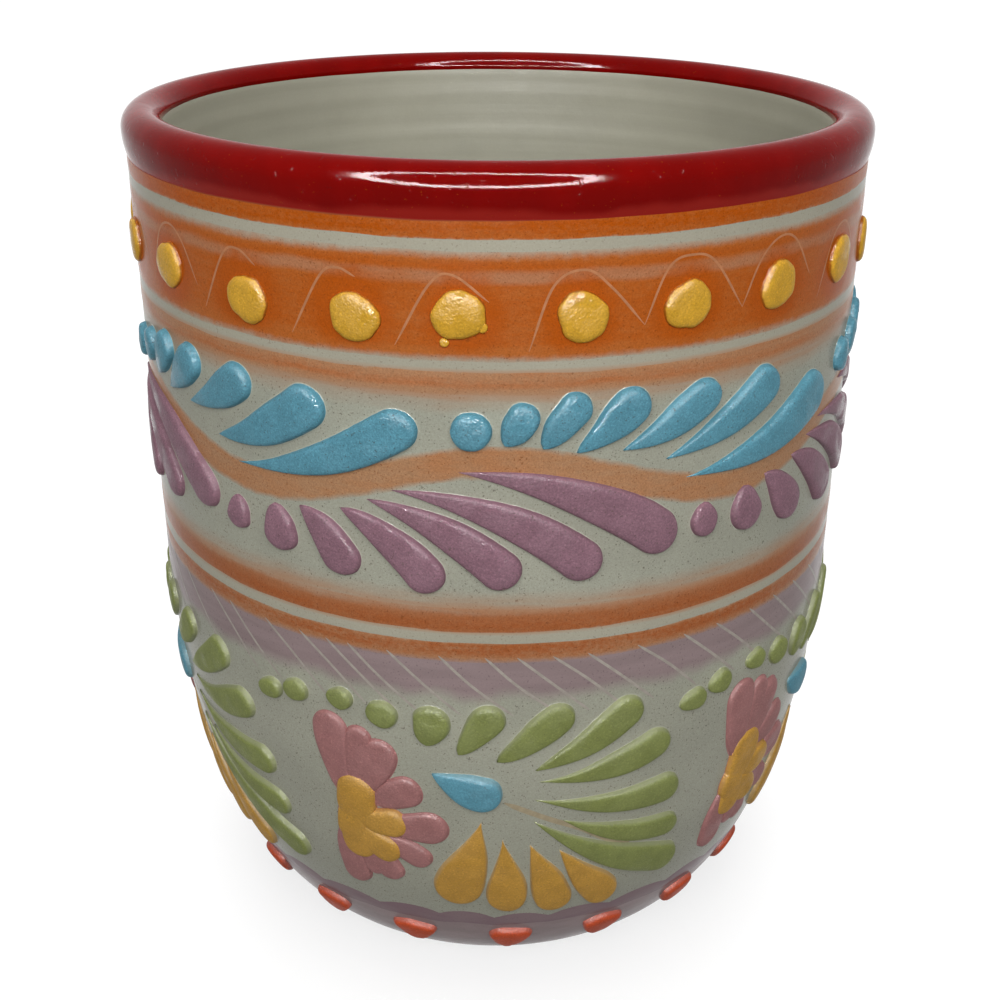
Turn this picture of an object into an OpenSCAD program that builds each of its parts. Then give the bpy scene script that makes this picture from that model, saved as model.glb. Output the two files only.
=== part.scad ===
// Ceramic tumbler with painted bands and raised slip ornament.
// Millimetres, +Z up. The table is z = 0 and the cup stands on the Z axis.
// Turns are in degrees about the axis: turn 0 faces -Y, and turns grow to the right seen from there.

/* [Cup] */
// Height from the table to the top of the glazed lip
cup_h = 100; // [84:1:120]
// Outside diameter of the clay at the lip
rim_d = 85; // [70:0.5:104]
// How far the wall leans out on each side between the belly and the lip
wall_flare = 0.65; // [0:0.05:3]
// Height at which the wall starts to round in towards the foot
belly_h = 48; // [36:1:56]
// Outside diameter of the foot
foot_d = 55; // [44:0.5:64]
// How far under the table the rounded belly would close if it went on
foot_cut = 0.9; // [0.5:0.1:3]
// Thickness of the wall, and of the round lip
wall_t = 3.8; // [3:0.1:5]
// Thickness of the floor
floor_t = 7; // [5:0.5:10]
// Diameter of the flat middle of the floor inside
floor_d = 40; // [24:1:46]
// Inside diameter of the foot ring
foot_ring_d = 43; // [34:0.5:50]
// Depth of the hollow inside the foot ring
foot_hollow = 1.5; // [0.5:0.1:3]

/* [Glaze and paint] */
// Thickness of the red glaze on the lip
rim_coat = 0.4; // [0.2:0.05:0.8]
// How far the red glaze comes down the outside, from the top
rim_coat_drop = 4.8; // [3.5:0.1:5.8]
// How far the red glaze comes down the inside, below the round of the lip
rim_coat_inside = 0.3; // [0.2:0.1:3]
// Thickness of the glaze that lines the inside
lining_t = 0.3; // [0.15:0.05:0.6]
// Thickness of a painted slip band
paint_t = 0.2; // [0.15:0.01:0.3]
// Width of the bare lines scratched between the bands
line_w = 1; // [0.6:0.1:1.4]
// Width of the stripe under the bead band
bead_stripe_w = 2.2; // [1:0.1:3]
// Width of the stripe above the waist line
waist_upper_w = 2.8; // [1.5:0.1:4]
// Width of the stripe below the waist line
waist_lower_w = 1.7; // [1:0.1:2.5]
// Width of the wave ribbon
ribbon_w = 2.6; // [1.5:0.1:3.2]
// Height of a wave, from trough to crest
wave_h = 5.4; // [3:0.1:6]

/* [Zones] */
// Height of the lip zone, from the top to the first bare line
rim_zone = 7.2; // [6.6:0.1:9]
// Height of the bead zone, down to the second bare line
bead_zone = 11.6; // [9.6:0.1:14]
// Height of the plume zone, down to the waist line
plume_zone = 29.2; // [24:0.1:35]
// Height of the wash zone, down to the top of the flower field
wash_zone = 7.6; // [6:0.1:9.2]
// Height of the foot zone, from the table to the bottom of the flower field
foot_zone = 12; // [10:0.1:14.4]

/* [Raised slip] */
// Diameter of a yellow bead
yellow_bead_d = 5.4; // [4:0.1:6.5]
// How far a yellow bead stands out
yellow_bead_h = 1; // [0.6:0.1:1.6]
// Diameter of a red bead
red_bead_d = 4.8; // [3.6:0.1:5.8]
// How far a red bead stands out
red_bead_h = 1; // [0.6:0.1:1.8]
// How far plumes, leaves and petals stand out
relief_h = 1; // [0.5:0.1:1.5]
// Clearance between a raised piece and the paint or clay under it
seat_gap = 0.06; // [0.05:0.01:0.15]

/* [Counts] */
// Yellow beads round the cup
yellow_beads_round = 23; // [16:1:25]
// Red beads round the foot
red_beads_round = 19; // [14:1:22]
// Scallops round the foot
scallops_round = 32; // [20:1:36]

/* [Hidden] */
$fn = 96;
units = 5;

// Clay profile. The belly is a quarter ellipse that the table cuts just above its lowest point.
clay_top = cup_h - rim_coat;
lip_r = wall_t / 2;
lip_z = clay_top - lip_r;
rim_r = rim_d / 2;
belly_r = rim_r - wall_flare;
foot_r = foot_d / 2;
belly_drop = belly_h + foot_cut;
foot_share = sqrt(1 - pow(belly_h / belly_drop, 2));
belly_bulge = (belly_r - foot_r) / (1 - foot_share);
belly_steps = 18;
foot_angle = asin(belly_h / belly_drop);
wall_table = concat(
    [for (k = [0:belly_steps]) belly_point(foot_angle * (1 - k / belly_steps))],
    [[lip_z, rim_r]]
);
function belly_point(a) = [belly_h - belly_drop * sin(a), belly_r - belly_bulge * (1 - cos(a))];
function wall_r(z) = lookup(z, wall_table);
function wall_slope(z) = (wall_r(z + 1) - wall_r(z - 1)) / 2;
function wall_normal(z) = [1, -wall_slope(z)] / norm([1, wall_slope(z)]);

// The cavity is a second quarter ellipse on a flat floor.
cavity_drop = belly_h - floor_t;
cavity_bulge = belly_r - wall_t - floor_d / 2;
cavity_table = concat(
    [for (k = [0:belly_steps]) cavity_point(90 * (1 - k / belly_steps))],
    [[lip_z, rim_r - wall_t]]
);
function cavity_point(a) = [belly_h - cavity_drop * sin(a), floor_d / 2 + cavity_bulge * cos(a)];
function cavity_r(z) = lookup(z, cavity_table);

// Lines between the zones, from the top down
line_1 = cup_h - rim_zone;
line_2 = line_1 - bead_zone;
waist_line = line_2 - plume_zone;
field_top = waist_line - wash_zone;
red_edge = cup_h - rim_coat_drop;
red_edge_inside = lip_z - rim_coat_inside;

// Layout of the ornament. Marks are drawn in degrees of turn and in rows of their zone.
// A row is close to a millimetre, and a degree is as wide as this many rows.
rows_per_degree = 0.733;
plume_rows = 29.2;
field_rows = 32.4;
plume_area = [waist_line, plume_zone / plume_rows];
field_area = [foot_zone, (field_top - foot_zone) / field_rows];

// Turns of the five repeats, set by eye as the painter did
blue_turns = [0, 66.5, 142, 218, 293.5];
lilac_turns = [0, 69.5, 143, 217, 290.5];
field_turns = [0, 66.5, 142, 218, 292.5];

// Marks: tail [degrees, row], head [degrees, row], width in rows, bow in rows, sharpness of the tail
dot = 0.5;
egg = 0.6;
leaf = 0.9;
plume = 1.1;
quill = 1.35;
blue_marks = [
    [[-6, 22.6], [-0.6, 22.6], 3.9, 0, dot],
    [[1, 21.2], [4.6, 25.2], 3.4, 0, egg],
    [[6, 20.8], [11.6, 26], 3.5, 0.1, egg],
    [[10.5, 20.2], [19.5, 26], 3.8, -0.3, leaf],
    [[16.8, 20], [30.6, 25.6], 3.9, -0.6, plume],
    [[23.2, 18.4], [41.7, 25.2], 4.1, -0.7, plume],
    [[26.5, 16], [54.7, 22], 5.4, -1.5, quill]
];
// The last repeat ends in two plumes that stand a little higher
last_blue_marks = [
    [[23.7, 17.7], [42.7, 24.8], 4.8, -1, leaf],
    [[27.5, 15.4], [55.7, 23.5], 4.6, -1.5, quill]
];
lilac_marks = [
    [[-39.5, 11.5], [-39.5, 7.7], 3.1, 0, dot],
    [[-32.4, 12], [-30.8, 6.9], 4.1, 0, dot],
    [[-28, 12.5], [-20.3, 5.9], 4.2, 0.7, leaf],
    [[-21.5, 13.2], [-8, 5.3], 4.3, 1, leaf],
    [[-17.5, 14.6], [2.5, 6.2], 4.2, 1.4, plume],
    [[-14, 15.9], [13.7, 7], 4.3, 2.1, quill],
    [[-5, 18.3], [24.7, 8.8], 4.8, 2.1, quill]
];
// How many rows higher each repeat of the lilac spray sits
lilac_lifts = [0, 1.2, 0.4, 0, 0.3];
green_marks = [
    [[-38.3, 28.6], [-33.6, 29.5], 2.6, 0, dot],
    [[-33.1, 29.7], [-28.7, 30.5], 2.8, 0, dot],
    [[-25.3, 30.8], [-21, 30.7], 2.6, 0, dot],
    [[-19, 29.9], [-14.1, 29.7], 3.4, 0, dot],
    [[-10, 26.6], [-8.7, 31.5], 4, 0, dot],
    [[-5.4, 25.7], [0.4, 31.7], 3.5, 0, egg],
    [[0.2, 24.9], [10.7, 31.5], 3.7, -0.3, egg],
    [[5.9, 23.5], [21.2, 31.2], 4, -0.6, leaf],
    [[6.6, 21.9], [26.8, 25.6], 4, -1, quill],
    [[6, 19.4], [29.9, 18.1], 4, -1, quill],
    [[10.5, 16.1], [31.2, 11.8], 3.5, -1, plume],
    [[6, 16.2], [33, 5.2], 4.6, -1.2, plume]
];
drop_mark = [[-9.4, 22.7], [1, 19.8], 4.5, -0.2, leaf];
amber_marks = [
    [[-2.1, 15.8], [-7.6, 2.7], 6.2, 0.3, quill],
    [[1.2, 13.4], [2.5, 1.4], 5, 0.1, quill],
    [[5.6, 12.5], [11.7, 1.2], 4.7, -0.1, plume],
    [[10.4, 11.3], [20.9, 1.3], 4.7, -0.2, plume]
];

// Half flower: its middle, then round petals, their roots and the lobes of the heart.
// Each round has a direction, a distance to its middle and a radius
flower_middle = [-22.5, 14];
petals = [
    [98.5, 12.5, 2], [83.8, 12.1, 1.5], [71.6, 10.6, 2.1], [42.6, 8.4, 2.1],
    [5.1, 9, 2.2], [-30.3, 8.3, 1.7], [-65.3, 7.4, 1.7], [-97.7, 9, 1.8]
];
petal_roots = [[100.1, 9.7, 1.9], [99.7, 7.1, 1.7], [-107.6, 6.3, 1.7]];
petal_rounds = concat(petals, petal_roots);
heart_lobes = [
    [79, 4.2, 2.7], [97.6, 1.5, 2.1], [11.3, 4.6, 2], [-48.4, 4.8, 1.8], [-70.6, 3.6, 2.1], [-111, 1.4, 2.5]
];
heart_flat = 2.5;
petal_gap = 0.45;
petal_notch = 1.1;
petal_full = 4;
// Directions at which the petals are drawn: across each petal, from one end of the open side to the other
petal_shares = [1, 0.66, 0.33, 0, -0.33, -0.66];
open_side = [116, -133];
petal_turns = concat(
    [for (k = [0:len(petals) - 1]) for (s = petal_shares)
        petals[k][0] + abs(s) * ((s > 0 ? petal_end(k) : petal_end(k + 1)) - petals[k][0])],
    [open_side[1]]
);
function petal_end(k) =
    k == 0 ? open_side[0] : k == len(petals) ? open_side[1] : (petals[k - 1][0] + petals[k][0]) / 2;

// Cross-section of a raised mark, from its right edge over the top to its left edge
section = [[-1, 0], [-0.78, 0.62], [0, 1], [0.78, 0.62], [1, 0]];
end_lift = 0.3;
// Rings along a mark: how many, the share on the tail, their crowding there, and the angle of the last
leaf_rings = 7;
round_rings = 5;
tail_share = 0.6;
tail_crowd = 0.9;
head_turn = 80;
shortest_neck = 0.5;
// Shoulder of the flower heart: share of its reach and of its height
heart_shoulder = [0.8, 0.7];
heart_step = 8;
lip_step = 15;

// Waves, beads and scallops
ribbon_steps = 100;
corner_room = 1 / cos(180 / ribbon_steps) - 1;
wave_row = 16.5;
yellow_first = -5;
yellow_wander = 1.5;
wander_beads = 7;
wander_phase = 51;
yellow_drop = 1;
yellow_z = (line_1 + line_2) / 2 - yellow_drop;
red_first = 3;
red_share = 0.6;
red_bead_z = foot_zone * red_share;
foot_paint_z = 0.8;
// A drip of yellow slip under the bead at the front
drip_turn = -6.6;
drip_d = 1.2;
drip_h = 0.6;
scallop_steps = 4;
scallop_depth = 1;
scallop_top = foot_zone + 0.6;
scallop_low = foot_zone - 2.4;
dome_steps = 6;
dome_power = 2.6;

// A point on the outside of the cup: turn, height, and distance out along the wall's normal
function wall_point(turn, z, out) =
    let (n = wall_normal(z), r = wall_r(z) + n[0] * out)
    [r * sin(turn), -r * cos(turn), z + n[1] * out];

// A layout point in rows, placed on the wall in its area
function mark_z(area, p) = area[0] + p[1] * area[1];
function place(area, turn, p, out) = wall_point(turn + p[0] / rows_per_degree, mark_z(area, p), out);
function in_rows(p) = [p[0] * rows_per_degree, p[1]];

// Room that a flat underside of this half width needs to clear the round wall and the paint's corners
function row_size(z) = wall_r(z) * PI / 180 / rows_per_degree;
function underside(z, half) =
    paint_t + seat_gap + wall_r(z) * corner_room + pow(half * row_size(z), 2) / (2 * wall_r(z));

// The curved line that a mark follows, and its direction
function bend(a, b, bow) = (a + b) / 2 + 2 * bow * [a[1] - b[1], b[0] - a[0]] / norm(b - a);
function along(a, c, b, t) = (1 - t) * (1 - t) * a + 2 * t * (1 - t) * c + t * t * b;
function heading(a, c, b, t) = let (d = (1 - t) * (c - a) + t * (b - c)) d / norm(d);

// The two triangles of a four-cornered face
function halves(a, b, c, d) = [[a, b, c], [a, c, d]];

// Half width along a mark: a tail that swells up to the round head, which starts at the share neck
function swell(t, neck, sharp) =
    t < neck ? pow(sin(90 * t / neck), sharp) : sqrt(max(0, 1 - pow((t - neck) / (1 - neck), 2)));

module clay_body() {
    lip = [for (a = [lip_step:lip_step:180 - lip_step])
        [rim_r - lip_r + lip_r * cos(a), lip_z + lip_r * sin(a)]];
    color("gainsboro")
        rotate_extrude()
            polygon(concat(
                [[0, foot_hollow], [foot_ring_d / 2 - foot_hollow, foot_hollow], [foot_ring_d / 2, 0]],
                [for (p = wall_table) [p[1], p[0]]],
                lip,
                [for (k = [len(cavity_table) - 1:-1:0]) [cavity_table[k][1], cavity_table[k][0]]],
                [[0, floor_t]]
            ));
}

module inside_glaze() {
    low = [for (p = cavity_table) if (p[0] < red_edge_inside) p];
    outer = concat(low, [[red_edge_inside, cavity_r(red_edge_inside)]]);
    color("lightgray")
        rotate_extrude()
            polygon(concat(
                [[0, floor_t]],
                [for (p = outer) [p[1], p[0]]],
                [for (k = [len(outer) - 1:-1:0])
                    [outer[k][1] - lining_t, max(outer[k][0], floor_t + lining_t)]],
                [[0, floor_t + lining_t]]
            ));
}

module rim_glaze() {
    middle = rim_r - lip_r;
    arc = [0:lip_step:180];
    color("firebrick")
        rotate_extrude()
            polygon(concat(
                [[wall_r(red_edge), red_edge], [wall_r(red_edge) + rim_coat, red_edge]],
                [for (a = arc) [middle + (lip_r + rim_coat) * cos(a), lip_z + (lip_r + rim_coat) * sin(a)]],
                [[cavity_r(red_edge_inside) - rim_coat, red_edge_inside]],
                [[cavity_r(red_edge_inside), red_edge_inside]],
                [for (a = arc) [middle - lip_r * cos(a), lip_z + lip_r * sin(a)]]
            ));
}

// A coat of paint on the outside between two heights
module wall_coat(low, high) {
    heights = concat([low], [for (p = wall_table) if (p[0] > low && p[0] < high) p[0]], [high]);
    rotate_extrude()
        polygon(concat(
            [for (z = heights) [wall_r(z), z]],
            [for (k = [len(heights) - 1:-1:0]) [wall_r(heights[k]) + paint_t, heights[k]]]
        ));
}

module rim_stripe() {
    color("darkorange") wall_coat(line_1 + line_w / 2, red_edge);
}

module bead_band() {
    color("darkorange") wall_coat(line_2 + line_w / 2, line_1 - line_w / 2);
}

module bead_stripe() {
    color("sandybrown") wall_coat(line_2 - line_w / 2 - bead_stripe_w, line_2 - line_w / 2);
}

module waist_stripe_upper() {
    color("darkorange") wall_coat(waist_line + line_w / 2, waist_line + line_w / 2 + waist_upper_w);
}

module waist_stripe_lower() {
    color("darkorange") wall_coat(waist_line - line_w / 2 - waist_lower_w, waist_line - line_w / 2);
}

module wash_band() {
    color("thistle") wall_coat(field_top, waist_line - line_w / 2 - waist_lower_w);
}

// Lilac band round the foot
module base_band() {
    color("rosybrown") wall_coat(foot_paint_z, scallop_low);
}

// How far the wall bulges out past a straight line between two heights
function bulge(low, high) =
    let (lean = (wall_r(high) - wall_r(low)) / (high - low))
    max(concat([0], [for (p = wall_table) if (p[0] > low && p[0] < high)
        p[1] - wall_r(low) - lean * (p[0] - low)]));

// A closed loop of paint between two rows of heights, one pair of heights for each step round the cup
module painted_loop(lows, highs) {
    steps = len(lows);
    clear = 1 / cos(180 / steps);
    room = bulge(min(lows), max(highs));
    points = [for (k = [0:steps - 1])
        for (c = [[lows[k], 0], [lows[k], paint_t], [highs[k], paint_t], [highs[k], 0]])
            let (turn = k * 360 / steps, r = (wall_r(c[0]) + room + c[1]) * clear)
            [r * sin(turn), -r * cos(turn), c[0]]];
    faces = [for (k = [0:steps - 1]) for (j = [0:3])
        let (next = (k + 1) % steps, up = (j + 1) % 4)
        for (f = halves(4 * k + j, 4 * k + up, 4 * next + up, 4 * next + j)) f];
    polyhedron(points, faces, convexity = 4);
}

// Ribbon that waves once for each repeat
module wave_ribbon() {
    middle = waist_line + wave_row * plume_area[1];
    waves = [for (k = [0:ribbon_steps - 1]) middle + wave_h / 2 * cos(k * 360 / ribbon_steps * units)];
    color("tan") painted_loop([for (z = waves) z - ribbon_w / 2], [for (z = waves) z + ribbon_w / 2]);
}

// Stroke with a scalloped top edge over the foot band
module base_scallops() {
    tops = [for (k = [0:scallops_round * scallop_steps - 1])
        scallop_top - scallop_depth * pow(2 * (k % scallop_steps) / scallop_steps - 1, 2)];
    color("mediumpurple") painted_loop([for (z = tops) scallop_low + paint_t], tops);
}

// A domed bead on the wall, with its flat back clear of the paint
module bead(turn, z, d, h) {
    n = wall_normal(z);
    seat = paint_t + seat_gap;
    rotate(turn)
        translate([0, -(wall_r(z) + n[0] * seat), z + n[1] * seat])
            rotate([90 - atan2(n[1], n[0]), 0, 0])
                rotate_extrude($fn = 48)
                    polygon(concat(
                        [[0, 0]],
                        [for (k = [0:dome_steps])
                            let (x = cos(90 * k / dome_steps))
                            [d / 2 * x, h * pow(1 - pow(x, dome_power), 1 / dome_power)]]
                    ));
}

module yellow_beads() {
    color("gold") {
        for (k = [-floor(yellow_beads_round / 2):ceil(yellow_beads_round / 2) - 1]) {
            wander = yellow_wander * cos(k * 360 / wander_beads + wander_phase);
            turn = yellow_first + k * 360 / yellow_beads_round + wander;
            bead(turn, yellow_z, yellow_bead_d, yellow_bead_h);
        }
        bead(drip_turn, yellow_z - yellow_bead_d / 2 - drip_d, drip_d, drip_h);
    }
}

module red_beads() {
    color("tomato")
        for (k = [0:red_beads_round - 1])
            bead(red_first + k * 360 / red_beads_round, red_bead_z, red_bead_d, red_bead_h);
}

// One raised mark: rings of the cross-section along its line, closed by a point at each end
module raised_mark(area, turn, mark, rings) {
    a = in_rows(mark[0]);
    b = in_rows(mark[1]);
    half = mark[2] / 2;
    c = bend(a, b, mark[3]);
    neck = max(shortest_neck, 1 - half / norm(b - a));
    sides = len(section);
    before = ceil(rings * tail_share);
    after = rings - before;
    step = norm(b - a) / before / 2;
    shares = concat(
        [for (k = [1:before]) neck * pow(k / before, tail_crowd)],
        [for (k = [1:after]) neck + (1 - neck) * sin(head_turn * k / after)]
    );
    points = concat(
        [place(area, turn, a, underside(mark_z(area, a), step) + end_lift * relief_h / 2)],
        [for (t = shares) let (
            p = along(a, c, b, t),
            d = heading(a, c, b, t),
            w = half * swell(t, neck, mark[4]),
            low = underside(mark_z(area, p), max(w, step)),
            rise = relief_h * (end_lift + (1 - end_lift) * w / half)
        ) for (s = section)
            place(area, turn, p + s[0] * w * [-d[1], d[0]], low + s[1] * rise)],
        [place(area, turn, b, underside(mark_z(area, b), step) + end_lift * relief_h / 2)]
    );
    last = 1 + rings * sides;
    faces = concat(
        [for (j = [0:sides - 1]) [0, 1 + (j + 1) % sides, 1 + j]],
        [for (k = [0:rings - 2]) for (j = [0:sides - 1])
            let (up = (j + 1) % sides, here = 1 + k * sides, next = here + sides)
            for (f = halves(here + j, here + up, next + up, next + j)) f],
        [for (j = [0:sides - 1]) [last, last - sides + j, last - sides + (j + 1) % sides]]
    );
    polyhedron(points, faces, convexity = 3);
}

// A row of marks, with fewer rings in the round ones
module raised_marks(area, turn, marks) {
    for (m = marks)
        raised_mark(area, turn, m, m[4] < leaf ? round_rings : leaf_rings);
}

module blue_spray(i) {
    first = len(blue_marks) - len(last_blue_marks);
    marks = i < units ? blue_marks : concat([for (k = [0:first - 1]) blue_marks[k]], last_blue_marks);
    color("steelblue") raised_marks(plume_area, blue_turns[i - 1], marks);
}

module lilac_spray(i) {
    area = plume_area + [lilac_lifts[i - 1] * plume_area[1], 0];
    color("mediumpurple") raised_marks(area, lilac_turns[i - 1], lilac_marks);
}

module green_fan(i) {
    color("yellowgreen") raised_marks(field_area, field_turns[i - 1], green_marks);
}

module blue_drop(i) {
    color("steelblue") raised_marks(field_area, field_turns[i - 1], [drop_mark]);
}

module amber_fan(i) {
    color("goldenrod") raised_marks(field_area, field_turns[i - 1], amber_marks);
}

// How far a round lobe reaches in a direction, then a group of them, the heart and the petals round it
function lobe_reach(lobe, a) =
    let (off = lobe[1] * sin(a - lobe[0]), room = lobe[2] * lobe[2] - off * off)
    room < 0 ? 0 : max(0, lobe[1] * cos(a - lobe[0]) + sqrt(room));
function lobed_edge(lobes, a) = max([for (l = lobes) lobe_reach(l, a)]);
function heart_edge(a) =
    let (reach = lobed_edge(heart_lobes, a))
    -cos(a) * reach > heart_flat ? -heart_flat / cos(a) : reach;
function petal_edge(a) = max(lobed_edge(petal_rounds, a), heart_edge(a) + petal_gap + petal_notch);

// Petals in one piece round the heart: the cross-section, swept round and capped at the open side
module pink_flower(i) {
    turn = field_turns[i - 1];
    middle = in_rows(flower_middle);
    sides = len(section);
    count = len(petal_turns);
    points = [for (a = petal_turns)
        let (
            inner = heart_edge(a) + petal_gap,
            half = (petal_edge(a) - inner) / 2,
            p = middle + (inner + half) * [cos(a), sin(a)],
            low = underside(mark_z(field_area, p), half),
            rise = relief_h * (end_lift + (1 - end_lift) * min(1, 2 * half / petal_full))
        )
        for (s = section) place(field_area, turn, p + s[0] * half * [cos(a), sin(a)], low + s[1] * rise)];
    last = (count - 1) * sides;
    faces = concat(
        [for (j = [1:sides - 2]) [0, j + 1, j]],
        [for (k = [0:count - 2]) for (j = [0:sides - 1])
            let (up = (j + 1) % sides, here = k * sides, next = here + sides)
            for (f = halves(here + j, here + up, next + up, next + j)) f],
        [for (j = [1:sides - 2]) [last, last + j, last + j + 1]]
    );
    color("palevioletred") polyhedron(points, faces, convexity = 6);
}

// Domed heart: a flat underside, its edge, a shoulder and the crown
module flower_heart(i) {
    turn = field_turns[i - 1];
    middle = in_rows(flower_middle);
    count = 360 / heart_step;
    edges = [for (k = [0:count - 1]) heart_edge(k * heart_step)];
    ways = [for (k = [0:count - 1]) edges[k] * [cos(k * heart_step), sin(k * heart_step)]];
    low = underside(mark_z(field_area, middle), max(edges) / 2);
    rise = heart_shoulder[1] * relief_h;
    points = concat(
        [place(field_area, turn, middle, low)],
        [for (w = ways) place(field_area, turn, middle + w, low)],
        [for (w = ways) place(field_area, turn, middle + heart_shoulder[0] * w, low + rise)],
        [place(field_area, turn, middle, low + relief_h)]
    );
    crown = 1 + 2 * count;
    faces = concat(
        [for (k = [0:count - 1]) [0, 1 + k, 1 + (k + 1) % count]],
        [for (k = [0:count - 1])
            let (next = (k + 1) % count)
            for (f = halves(1 + k, 1 + count + k, 1 + count + next, 1 + next)) f],
        [for (k = [0:count - 1]) [crown, 1 + count + (k + 1) % count, 1 + count + k]]
    );
    color("gold") polyhedron(points, faces, convexity = 3);
}

clay_body();
inside_glaze();
rim_glaze();
rim_stripe();
bead_band();
bead_stripe();
wave_ribbon();
waist_stripe_upper();
waist_stripe_lower();
wash_band();
base_band();
base_scallops();
yellow_beads();
red_beads();
for (i = [1:units]) {
    blue_spray(i);
    lilac_spray(i);
    green_fan(i);
    blue_drop(i);
    amber_fan(i);
    pink_flower(i);
    flower_heart(i);
}
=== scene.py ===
"""Glazed tumbler with painted slip bands and raised slip ornament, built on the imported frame."""

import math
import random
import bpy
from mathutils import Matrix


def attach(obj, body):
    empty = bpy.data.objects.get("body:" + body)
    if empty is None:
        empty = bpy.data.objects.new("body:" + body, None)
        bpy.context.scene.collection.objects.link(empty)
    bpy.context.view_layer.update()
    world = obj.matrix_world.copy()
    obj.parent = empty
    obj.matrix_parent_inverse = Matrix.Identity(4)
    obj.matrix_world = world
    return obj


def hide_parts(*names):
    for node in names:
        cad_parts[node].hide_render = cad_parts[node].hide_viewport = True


bl_info = {
    "name": "Slip-painted tumbler",
    "version": (1, 0, 0),
    "blender": (4, 5, 0),
    "location": "View3D > Sidebar > Tumbler",
    "description": "Builds a glazed tumbler with painted bands, raised slip plumes, beads, leaves and flowers",
    "category": "Add Mesh",
}

import zlib

import bpy
import numpy as np
from bpy.props import FloatProperty, FloatVectorProperty, PointerProperty
from mathutils import Matrix, Vector

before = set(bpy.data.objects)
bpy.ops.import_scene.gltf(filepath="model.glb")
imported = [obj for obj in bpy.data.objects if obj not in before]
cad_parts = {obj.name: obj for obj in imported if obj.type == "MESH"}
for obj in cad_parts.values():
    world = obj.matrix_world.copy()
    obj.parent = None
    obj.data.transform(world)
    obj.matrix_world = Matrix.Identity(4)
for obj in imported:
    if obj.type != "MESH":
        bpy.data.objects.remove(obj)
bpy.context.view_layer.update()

MM = 0.001
UNITS = 5
STEPS = 360

# The cup in millimetres
CUP_TOP = 100.0
LIP_Z = 97.7
RIM_R = 42.5
LIP_R = 1.9
BELLY_R = 41.85
BELLY_H = 48.0
FOOT_R = 27.5
FOOT_CUT = 0.9
WALL_T = 3.8
FLOOR_T = 7.0
FLOOR_R = 20.0
FOOT_RING_R = 21.5
FOOT_HOLLOW = 1.5
AXIS_R = 0.01

# The glaze ends above the foot between these heights
BARE_CLAY = (0.7, 0.4)

# Red coat: lower edge, degrees that it reaches over the lip, degrees over which it thins to its end, thickness
# there, shares of the way to the lip where its rows lie, millimetres that its colour counts over the lip
RED_EDGE = 94.87
RED_TURN = 178.0
RED_LAP = 12.0
RED_END = 0.18
RED_ROWS = (0, 0.02, 0.06, 0.12, 0.2, 0.3, 0.42, 0.56, 0.72, 0.88)
RED_OVER = 3

# Lining: thickness, degrees over which it thickens from under the red, wheel rings as depth, pace and start
LINING_T = 0.3
LINING_LAP = 22.0
WALL_RINGS = ((0.04, 1.05, 0.0), (0.02, 2.3, 1.0))
FLOOR_RINGS = (0.04, 1.3)

# Painted bands: lowest and highest millimetre
RIM_STRIPE = (92.95, 95.7)
BEAD_BAND = (81.3, 92.5)
BEAD_STRIPE = (77.9, 80.8)
WAIST_UPPER = (52.35, 55.7)
WAIST_LOWER = (48.8, 51.65)
WASH = (43.4, 49.9)
BASE = (0.8, 10.4)

# Middles of the bare lines between bands
LINES = (92.6, 81.1, 52.0)

# How deep the edges of a coat of paint lie in the glaze
PAINT_SINK = 0.01

# Thin orange beside two stripes: heights where it begins and is full, heights where it stops, share
DUST = (((57.8, 54.6), (52.2, 52.6), 0.75), ((75.9, 79.0), (81.0, 80.6), 0.8))

# Heights where the lilac wash begins and is full, where it stops, where the tint round the foot begins and is
# full, shares of the thickness of paint in the wash and the foot band
WASH_FADE = (WASH[0] + 0.4, WASH[0] + 2.6)
WASH_STOP = (51.3, 50.9)
FOOT_TINT = (11.0, 8.0)
WASH_LIFT = 0.6
BASE_LIFT = 0.7

# Scalloped strokes: how many, lower edge, highest point, dip between two
SCALLOPS = 32
SCALLOP_LOW = 9.2
SCALLOP_TOP = 12.7
SCALLOP_DIP = 1.1

# Wave ribbon: height of its line, rise of the wave, lower and upper edge from that line
WAVE_MIDDLE = 68.5
WAVE_RISE = 2.7
RIBBON_LOW = -1.9
RIBBON_HIGH = 2.3

# The ornament is laid out in degrees of turn, each this many millimetres wide, and millimetres above the foot of
# its zone. Each group is made at five turns, and the lilac ones are lifted a little
DEGREE = 0.733
PLUME_FOOT = 52.0
FIELD_FOOT = 12.0
BLUE_TURNS = (0, 66.5, 142, 218, 293.5)
LILAC_TURNS = (0, 69.5, 143, 217, 290.5)
FIELD_TURNS = (0, 66.5, 142, 218, 292.5)
LILAC_LIFTS = (0, 1.2, 0.4, 0, 0.3)

# Rise of some marks beside that of the plumes or leaves
LILAC_RISE = 0.85
DROP_RISE = 1.1
PETAL_RISE = 0.7
HEART_RISE = 1.05

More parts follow.
